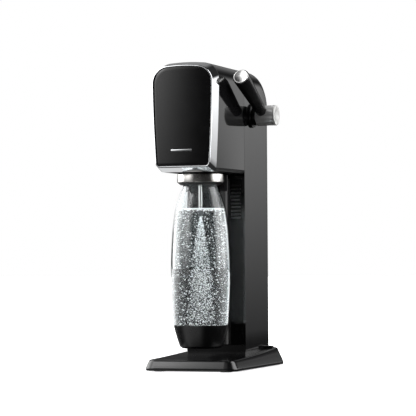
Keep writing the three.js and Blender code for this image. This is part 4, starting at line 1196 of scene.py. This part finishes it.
@dataclass
class Bottle:
    """Bottle, its base cup, the holder that tilts with it and the nozzle that dips into it."""

    y: float = -59.0
    wall: float = 1.6
    cup_wall: float = 2.1
    neck_radius: float = 16.4
    top: float = 286.0
    shape: tuple[Point, ...] = (
        (39, 64.3), (40.8, 94), (42, 125), (42.2, 155), (40.4, 192), (38, 214), (35, 231), (29.7, 248.4),
        (25.1, 260.3), (20.5, 268), (16.4, 273),
    )
    cup: tuple[Point, ...] = ((26.4, 31.4), (30.5, 34.2), (33.4, 43), (36.6, 54), (39, 64))
    collar_radius: float = 33.0
    collar_bottom: float = 265.4
    collar_top: float = 277.5
    holder_radius: float = 27.0
    holder_top: float = 300.0
    cavity: float = 25.8
    seal_top: float = 292.7
    seal_radius: float = 17.0
    pivot_y: float = 16.9
    pivot_z: float = 310.0
    pivot_radius: float = 3.0
    lug_radius: float = 7.0
    lug_outside: float = 24.0
    lug_inside: float = 20.0
    skirt_bottom: float = 262.0
    guard_inner: float = 33.3
    guard_outer: float = 39.0
    guard_bottom: float = 253.5
    guard_top: float = 276.5
    guard_span: Point = (28.0, 147.0)  # angles that it starts and ends at, degrees
    nozzle_radius: float = 2.6
    nozzle_top: float = 302.0
    tip_radius: float = 3.6
    tip_bottom: float = 216.5
    tip_top: float = 228.0

    @property
    def centre(self) -> Vector:
        """Foot of the bottle's axis."""
        return Vector((0, self.y, 0))

    def outside(self) -> list[Point]:
        """Outer profile of the clear body, from the cup's rim to the mouth."""
        return [*flowing(self.shape), (self.neck_radius, self.top)]

    def inner_radius(self, z: float) -> float:
        """Radius of the inside at a height."""
        line = self.outside()
        if z < line[0][1]:
            share = max(z - 36.0, 0.0) / (line[0][1] - 36.0)
            return lerp(24.0, line[0][0], share ** 0.6) - self.wall - self.cup_wall
        for (r0, z0), (r1, z1) in zip(line, line[1:]):
            if z0 <= z <= z1:
                return lerp(r0, r1, (z - z0) / max(z1 - z0, 1e-6)) - self.wall
        return self.neck_radius - self.wall

    def body(self) -> bpy.types.Object:
        """Clear body with its wall."""
        rim = self.cup_wall + GAP
        foot = [(r - rim, z + (rim if z < 40 else 0)) for r, z in self.cup]
        outer = [(0, foot[0][1]), *eased(foot, 4.0), *self.outside()]
        w = self.wall
        inner = [(max(r - w, 0), min(z, self.top)) for r, z in outer[1:]]
        inner[0] = (inner[0][0], inner[0][1] + w)
        profile = [*outer, *reversed(inner), (0, inner[0][1])]
        return soften(turned("bottle_clear_body", profile, centre=self.centre, steps=128), 0, crease=60)

    def base_cup(self) -> bpy.types.Object:
        """Black cup that the bottle stands in."""
        w = self.cup_wall
        outer = [(0, self.cup[0][1]), *self.cup]
        inner = [(r - w, z + w if z < 40 else z) for r, z in self.cup]
        profile = [*eased(outer, 2.5, 6), *reversed(eased([(0, self.cup[0][1] + w), *inner], 2.5, 6))]
        return soften(turned("bottle_base_cup", profile, centre=self.centre, steps=128), 0.3, crease=50)

    def holder(self) -> bpy.types.Object:
        """Black holder with its lip and the lugs that it tilts on."""
        ledge = self.collar_bottom - GAP
        bell = turned("holder_body_moulding", eased([
            (self.cavity, self.skirt_bottom), (28, self.skirt_bottom), (32, ledge),
            (self.holder_radius, ledge),
            (self.holder_radius, self.holder_top), (self.nozzle_radius + GAP, self.holder_top),
            (self.nozzle_radius + GAP, self.seal_top + GAP), (self.seal_radius + GAP, self.seal_top + GAP),
            (self.seal_radius + GAP, self.collar_top), (self.cavity, ledge + 2),
        ], 0.35, closed=True), centre=self.centre)
        back = self.y + self.pivot_y
        top = self.holder_top
        lug, outside, inside = self.lug_radius, self.lug_outside, self.lug_inside
        cheek = [(self.y - 8, top - 4), (back + lug, top - 4), *arc(back, self.pivot_z, lug, 0, 180, 20)]
        floor = prism("floor", Axis.Z, block(-outside, self.y - 8, outside, back + lug), top - 4, top)
        cheeks = [prism("cheek", Axis.X, cheek, a, b) for a, b in ((-outside, -inside), (inside, outside))]
        carve(bell, Cut.JOIN, floor, *cheeks)
        bore = prism("bore", Axis.X, arc(back, self.pivot_z, self.pivot_radius + GAP, 0, 360, 32)[:-1],
                     -outside - 2, outside + 2)
        hole = prism("hole", Axis.Z, arc(0, self.y, self.nozzle_radius + GAP, 0, 360, 32)[:-1],
                     self.holder_top - 10, self.holder_top + 2)
        return soften(carve(bell, Cut.REMOVE, bore, hole), 0.3)

    def neck_guard(self) -> bpy.types.Object:
        """Half-round guard behind the neck."""
        start, end = self.guard_span
        outline = [*arc(0, self.y, self.guard_outer, start, end, 48),
                   *arc(0, self.y, self.guard_inner, end, start, 48)]
        guard = prism("neck_guard_moulding", Axis.Z, outline, self.guard_bottom, self.guard_top)
        return soften(guard, 0.8)

    def build(self) -> None:
        """Builds and dresses the bottle and its holder."""
        radius, low, high = self.tip_radius, self.tip_bottom, self.tip_top
        bore = self.holder_radius + GAP
        collar = turned("collar_ring_steel", eased([
            (bore, self.collar_bottom), (self.collar_radius, self.collar_bottom),
            (self.collar_radius, self.collar_top), (bore, self.collar_top),
        ], 0.7, closed=True), centre=self.centre, steps=128)
        tube = turned("nozzle_tube_steel", [
            (0, high + GAP), (self.nozzle_radius, high + GAP), (self.nozzle_radius, self.nozzle_top),
            (0, self.nozzle_top),
        ], centre=self.centre, steps=32)
        tip = turned("nozzle_tip_moulding", eased([
            (0, low), (1.4, low), (radius, low + 5), (radius, high), (0, high),
        ], 0.5), centre=self.centre, steps=40)
        show(self.holder(), MATT_NYLON, "holder", "matt_black_abs", "holder_body")
        show(self.neck_guard(), MATT_NYLON, "holder", "matt_black_abs", "neck_guard")
        show(soften(collar, 0, 50), BRUSHED_STEEL, "holder", "brushed_steel", "collar_ring")
        show(soften(tube, 0), STAINLESS_TUBE, "holder", "matt_black_abs", "nozzle_tube")
        show(soften(tip, 0), GREY_NYLON, "holder", "grey_nylon", "nozzle_tip")
        show(self.body(), CLEAR_PET, "holder", "clear_pet", "bottle_body")
        show(self.base_cup(), CUP_ABS, "holder", "matt_black_abs", "bottle_cup")
        dress("neck_seal", RUBBER)
        dress("holder_pivot_pin", ZINC)


@dataclass
class Fizz:
    """Sparkling water in the bottle: loose bubbles, the gas plume under the nozzle and froth on top."""

    bottle: Bottle
    surface: float = 228.7
    floor: float = 38.0
    plume_top: float = 216.0
    plume_foot: float = 60.0
    bubble_count: int = 2500
    plume_count: int = 3800
    froth_count: int = 1300
    clearance: float = 0.08  # between the water and the bottle's inside
    shore: float = 1.2  # how far bubbles stay off the wall
    core: float = 0.5  # share of the radius that loose bubbles leave free round the plume
    seed: int = 7

    def water(self) -> bpy.types.Object:
        """The water itself."""
        levels = [lerp(self.floor, self.surface, i / 40) for i in range(41)]
        line = [(self.bottle.inner_radius(z) - (self.clearance if z > 64.3 else 1.2), z) for z in levels]
        profile = [(0, self.floor), *line, (0, self.surface)]
        return soften(turned("water", profile, centre=self.bottle.centre), 0, crease=50)

    def plume_radius(self, z: float) -> float:
        """Radius of the plume of gas at a height."""
        below = max(self.plume_top - z, 0.0)
        return 1.0 + 10.5 * (1 - math.exp(-below / 55)) + 0.03 * below

    def around(self, rng: random.Random, away: float, z: float) -> Vector:
        """A place at a distance from the bottle's axis, in a random direction."""
        turn = rng.uniform(0, math.tau)
        return Vector((away * math.cos(turn), self.bottle.y + away * math.sin(turn), z))

    def spot(self, rng: random.Random, low: float, high: float, inner: float = 0.0) -> Vector:
        """A random place in the water between two heights, outside a share of its radius."""
        z = rng.uniform(low, high)
        radius = self.bottle.inner_radius(z) - self.clearance - self.shore
        return self.around(rng, radius * math.sqrt(rng.uniform(inner ** 2, 1)), z)

    def balls(self, name: str, places: Sequence[tuple[Vector, float]]) -> bpy.types.Object:
        """Small round bubbles as one mesh of separate bodies.

        Args:
            name: name of the piece.
            places: centre and radius of each bubble.

        Returns:
            The object.
        """
        model = bmesh.new()
        bmesh.ops.create_icosphere(model, subdivisions=1, radius=1.0)
        corners = [v.co.copy() for v in model.verts]
        sides = [tuple(v.index for v in f.verts) for f in model.faces]
        model.free()
        vertices, faces = [], []
        for centre, radius in places:
            first = len(vertices)
            vertices += [(centre + c * radius) * MM for c in corners]
            faces += [tuple(first + i for i in side) for side in sides]
        mesh = bpy.data.meshes.new(name)
        mesh.from_pydata(vertices, [], faces)
        mesh.polygons.foreach_set("use_smooth", [True] * len(mesh.polygons))
        return linked(name, mesh)

    def loose(self, rng: random.Random) -> list[tuple[Vector, float]]:
        """Centres and radii of the loose bubbles, most of them small."""
        bubbles = []
        for _ in range(self.bubble_count):
            size = 0.25 + 0.65 * rng.random() ** 3
            bubbles.append((self.spot(rng, self.floor + 2, self.surface - 3, self.core), size))
        return bubbles

    def plume(self, rng: random.Random) -> list[tuple[Vector, float]]:
        """Centres and radii of the bubbles that spread down from the nozzle."""
        bubbles = []
        for _ in range(self.plume_count):
            z = self.plume_top - (self.plume_top - self.plume_foot) * rng.random() ** 0.95
            centre = self.around(rng, self.plume_radius(z) * math.sqrt(rng.random()), z)
            bubbles.append((centre, 0.2 + 0.4 * rng.random() ** 2))
        return bubbles

    def froth(self, rng: random.Random) -> list[tuple[Vector, float]]:
        """Centres and radii of the bubbles that crowd under the surface."""
        bubbles = []
        for _ in range(self.froth_count):
            low = self.surface - 1.2 - 4.5 * rng.random() ** 2
            centre = self.spot(rng, low, self.surface - 0.6)
            bubbles.append((centre, 0.3 + 0.6 * rng.random() ** 2))
        return bubbles

    def build(self) -> None:
        """Builds and dresses the water."""
        rng = random.Random(self.seed)
        show(self.water(), WATER, "holder", "water")
        show(self.balls("water_bubbles", self.loose(rng)), FIZZ_BUBBLES, "holder", "water")
        show(self.balls("gas_plume", self.plume(rng)), FIZZ_BUBBLES, "holder", "water")
        show(self.balls("water_froth", self.froth(rng)), FIZZ_FROTH, "holder", "water")


# ---------------------------------------------------------------- gas train and chassis


@dataclass
class Works:
    """What the shells hide: chassis, valve train and gas cylinder."""

    cylinder_y: float = 69.3
    cylinder_radius: float = 29.75
    cylinder_bottom: float = 37.0
    neck_radius: float = 13.0
    neck_top: float = 340.0

    def cylinder(self) -> bpy.types.Object:
        """Painted steel gas cylinder."""
        r, top = self.cylinder_radius, self.neck_top
        profile = [
            (0, self.cylinder_bottom + 2), (18, self.cylinder_bottom + 1), (23, self.cylinder_bottom),
            *flowing([(28, self.cylinder_bottom + 2.5), (r, self.cylinder_bottom + 8)], 4),
            *flowing([(r, top - 34), (r - 2.5, top - 21), (r - 8, top - 11), (self.neck_radius, top - 5)], 6),
            (self.neck_radius, top), (0, top),
        ]
        centre = Vector((0, self.cylinder_y, 0))
        return soften(turned("gas_cylinder_steel", profile, centre=centre), 0, crease=50)

    def build(self) -> None:
        """Dresses the hidden pieces."""
        show(self.cylinder(), PAINTED_STEEL, "cylinder", "cylinder_paint", "gas_cylinder")
        for node, finish in {
            "cylinder_valve": BRASS, "valve_block": BRASS, "relief_valve": BRASS, "swivel_banjo": BRASS,
            "valve_collar": GREY_NYLON, "lock_lever": GREY_NYLON, "gas_tube": TUBING, "valve_pin": ZINC,
            "valve_plunger": ZINC, "plunger_spring": ZINC, "valve_rocker": ZINC, "rocker_pin": ZINC,
            "chassis_plate_left": ZINC, "chassis_plate_right": ZINC, "chassis_tie_front": ZINC,
            "chassis_tie_middle": ZINC, "chassis_tie_lower": ZINC, "cylinder_yoke": ZINC,
        }.items():
            dress(node, finish)


# ---------------------------------------------------------------- studio


@dataclass(frozen=True)
class Glow:
    """A soft bright area of the surroundings; angles in degrees, azimuth 0 in front, 90 on the right."""

    azimuth: float
    elevation: float
    half_width: float
    half_height: float
    level: float
    soft_width: float = 12.0
    soft_height: float = 8.0


@dataclass
class Studio:
    """Floor, surroundings, softbox and camera."""

    glows: tuple[Glow, ...] = (
        Glow(-95, 28, 25, 31, 4.5, 8, 5),  # strip softbox on the left
        Glow(108, 28, 22, 31, 4.5, 10, 5),  # strip softbox on the right
        Glow(139, 6, 20, 4.5, 2.5, 15, 6),  # reflector behind on the right
        Glow(-45, 28, 18, 25, 4.2, 13, 11),  # large front softbox, whose edge fades across the panel
        Glow(-15, 36, 35, 18, 0.45, 15, 8),
        Glow(-155, 38, 26, 26, 0.25, 10, 4),
        Glow(-139, 8, 13, 5, 1.3, 5, 3),  # edge of a screen on the left, caught by the bezel's lip
        Glow(-25, -24, 45, 11, 0.8, 15, 6),  # counter in front
        Glow(200, -24, 34, 12, 0.8, 10, 8),  # counter behind
    )
    ambient: float = 0.03
    camera_azimuth: float = 19.984
    camera_pitch: float = 1.288
    camera_roll: float = 0.38
    camera_place: tuple[float, float, float] = (1028.5, -2856.3, 162.5)
    lens: float = 182.1
    softbox_place: tuple[float, float, float] = (-420, -640, 640)
    softbox_aim: tuple[float, float, float] = (0, -20, 150)
    softbox_size: float = 200.0
    softbox_power: float = 0.25

    def camera(self) -> None:
        """Long-lens camera, a little below the middle of the machine."""
        turn = math.radians(self.camera_azimuth)
        pitch = math.radians(self.camera_pitch)
        roll = math.radians(self.camera_roll)
        ahead = Vector((-math.sin(turn) * math.cos(pitch), math.cos(turn) * math.cos(pitch), math.sin(pitch)))
        right = Vector((math.cos(turn), math.sin(turn), 0))
        up = right.cross(ahead)
        tilted = right * math.cos(roll) - up * math.sin(roll)
        data = bpy.data.cameras.new("camera")
        data.lens, data.sensor_width = self.lens, 36.0
        data.clip_start, data.clip_end = 0.05, 50.0
        camera = linked("camera", data)
        above = tilted.cross(ahead)
        frame_axes = Matrix((tilted, above, -ahead)).transposed().to_4x4()
        camera.matrix_world = Matrix.Translation(Vector(self.camera_place) * MM) @ frame_axes
        bpy.context.scene.camera = camera

    def floor(self) -> None:
        """Plain pale floor."""
        reach = 12000.0
        corners = [Vector((x, y, 0)) for x, y in block(-reach, -reach, reach, reach)]
        floor = mesh_object("floor", corners, [(0, 1, 2, 3)])
        material = bpy.data.materials.new("pale floor")
        material.use_nodes = True
        shader = material.node_tree.nodes["Principled BSDF"]
        shader.inputs["Base Color"].default_value = linear("e4e4e4")
        shader.inputs["Roughness"].default_value = 0.9
        shader.inputs["Specular IOR Level"].default_value = 0.0
        shader.inputs["Emission Color"].default_value = (1, 1, 1, 1)
        shader.inputs["Emission Strength"].default_value = 0.72
        floor.data.materials.append(material)
        floor.visible_glossy = False
        floor.visible_diffuse = False

    def surroundings(self) -> None:
        """White backdrop for the eye; soft bright areas on a dark ground for what the machine reflects."""
        world = bpy.data.worlds.new("studio")
        bpy.context.scene.world = world
        world.use_nodes = True
        tree = world.node_tree
        tree.nodes.clear()
        way = add_node(tree, "ShaderNodeTexCoord").outputs["Generated"]
        axes = add_node(tree, "ShaderNodeSeparateXYZ", {0: way})
        front = add_node(tree, "ShaderNodeMath", {0: axes.outputs[1], 1: -1.0}, operation="MULTIPLY")
        azimuth = add_node(tree, "ShaderNodeMath", {0: axes.outputs[0], 1: front.outputs[0]},
                           operation="ARCTAN2")
        elevation = add_node(tree, "ShaderNodeMath", {0: axes.outputs[2]}, operation="ARCSINE")

        def window(angle: bpy.types.NodeSocket, centre: float, half: float,
                   soft: float) -> bpy.types.NodeSocket:
            """1 inside a span of angles, falling softly to 0 outside it."""
            away = add_node(tree, "ShaderNodeMath", {0: angle, 1: math.radians(centre)}, operation="SUBTRACT")
            wrapped = add_node(tree, "ShaderNodeMath", {0: away.outputs[0], 1: math.pi, 2: -math.pi},
                               operation="WRAP")
            size = add_node(tree, "ShaderNodeMath", {0: wrapped.outputs[0]}, operation="ABSOLUTE")
            return add_node(tree, "ShaderNodeMapRange", {
                "Value": size.outputs[0], "From Min": math.radians(half - soft),
                "From Max": math.radians(half + soft), "To Min": 1.0, "To Max": 0.0,
            }, interpolation_type="SMOOTHSTEP").outputs[0]

        total: bpy.types.NodeSocket | float = self.ambient
        for glow in self.glows:
            across = window(azimuth.outputs[0], glow.azimuth, glow.half_width, glow.soft_width)
            up = window(elevation.outputs[0], glow.elevation, glow.half_height, glow.soft_height)
            both = add_node(tree, "ShaderNodeMath", {0: across, 1: up}, operation="MULTIPLY")
            total = add_node(tree, "ShaderNodeMath", {0: both.outputs[0], 1: glow.level, 2: total},
                             operation="MULTIPLY_ADD").outputs[0]
        lit = add_node(tree, "ShaderNodeBackground", {"Color": (1, 1, 1, 1), "Strength": total})
        plain = add_node(tree, "ShaderNodeBackground", {"Color": (1, 1, 1, 1), "Strength": 1.0})
        path = add_node(tree, "ShaderNodeLightPath")
        direct = add_node(tree, "ShaderNodeMath", {0: path.outputs["Glossy Depth"], 1: 0.5},
                          operation="LESS_THAN")
        through = add_node(tree, "ShaderNodeMath", {
            0: path.outputs["Is Transmission Ray"], 1: direct.outputs[0],
        }, operation="MULTIPLY")
        seen = add_node(tree, "ShaderNodeMath", {
            0: path.outputs["Is Camera Ray"], 1: through.outputs[0],
        }, operation="MAXIMUM")
        either = add_node(tree, "ShaderNodeMixShader", {
            0: seen.outputs[0], 1: lit.outputs[0], 2: plain.outputs[0],
        })
        add_node(tree, "ShaderNodeOutputWorld", {"Surface": either.outputs[0]})

    def softbox(self) -> None:
        """Small softbox above the machine's front left corner, for the base's front flank."""
        data = bpy.data.lights.new("front flank softbox", "AREA")
        data.shape, data.size, data.energy = "SQUARE", self.softbox_size * MM, self.softbox_power
        lamp = linked("front flank softbox", data)
        lamp.location = Vector(self.softbox_place) * MM
        aim = Vector(self.softbox_aim) * MM - lamp.location
        lamp.rotation_euler = aim.to_track_quat("-Z", "Y").to_euler()

    def build(self) -> None:
        """Sets the studio up."""
        self.camera()
        self.floor()
        self.surroundings()
        self.softbox()
        scene = bpy.context.scene
        scene.view_settings.view_transform = "Standard"
        scene.view_settings.look = "None"


def main() -> None:
    """Builds the whole machine and its studio."""
    logging.basicConfig(level=logging.INFO, format="%(name)s %(message)s")
    base, lever, bottle = Base(), Lever(), Bottle()
    Studio().build()
    base.build()
    Column(base, lever).build()
    Head().build()
    lever.build()
    bottle.build()
    Fizz(bottle).build()
    Works().build()


if __name__ == "__main__":
    main()
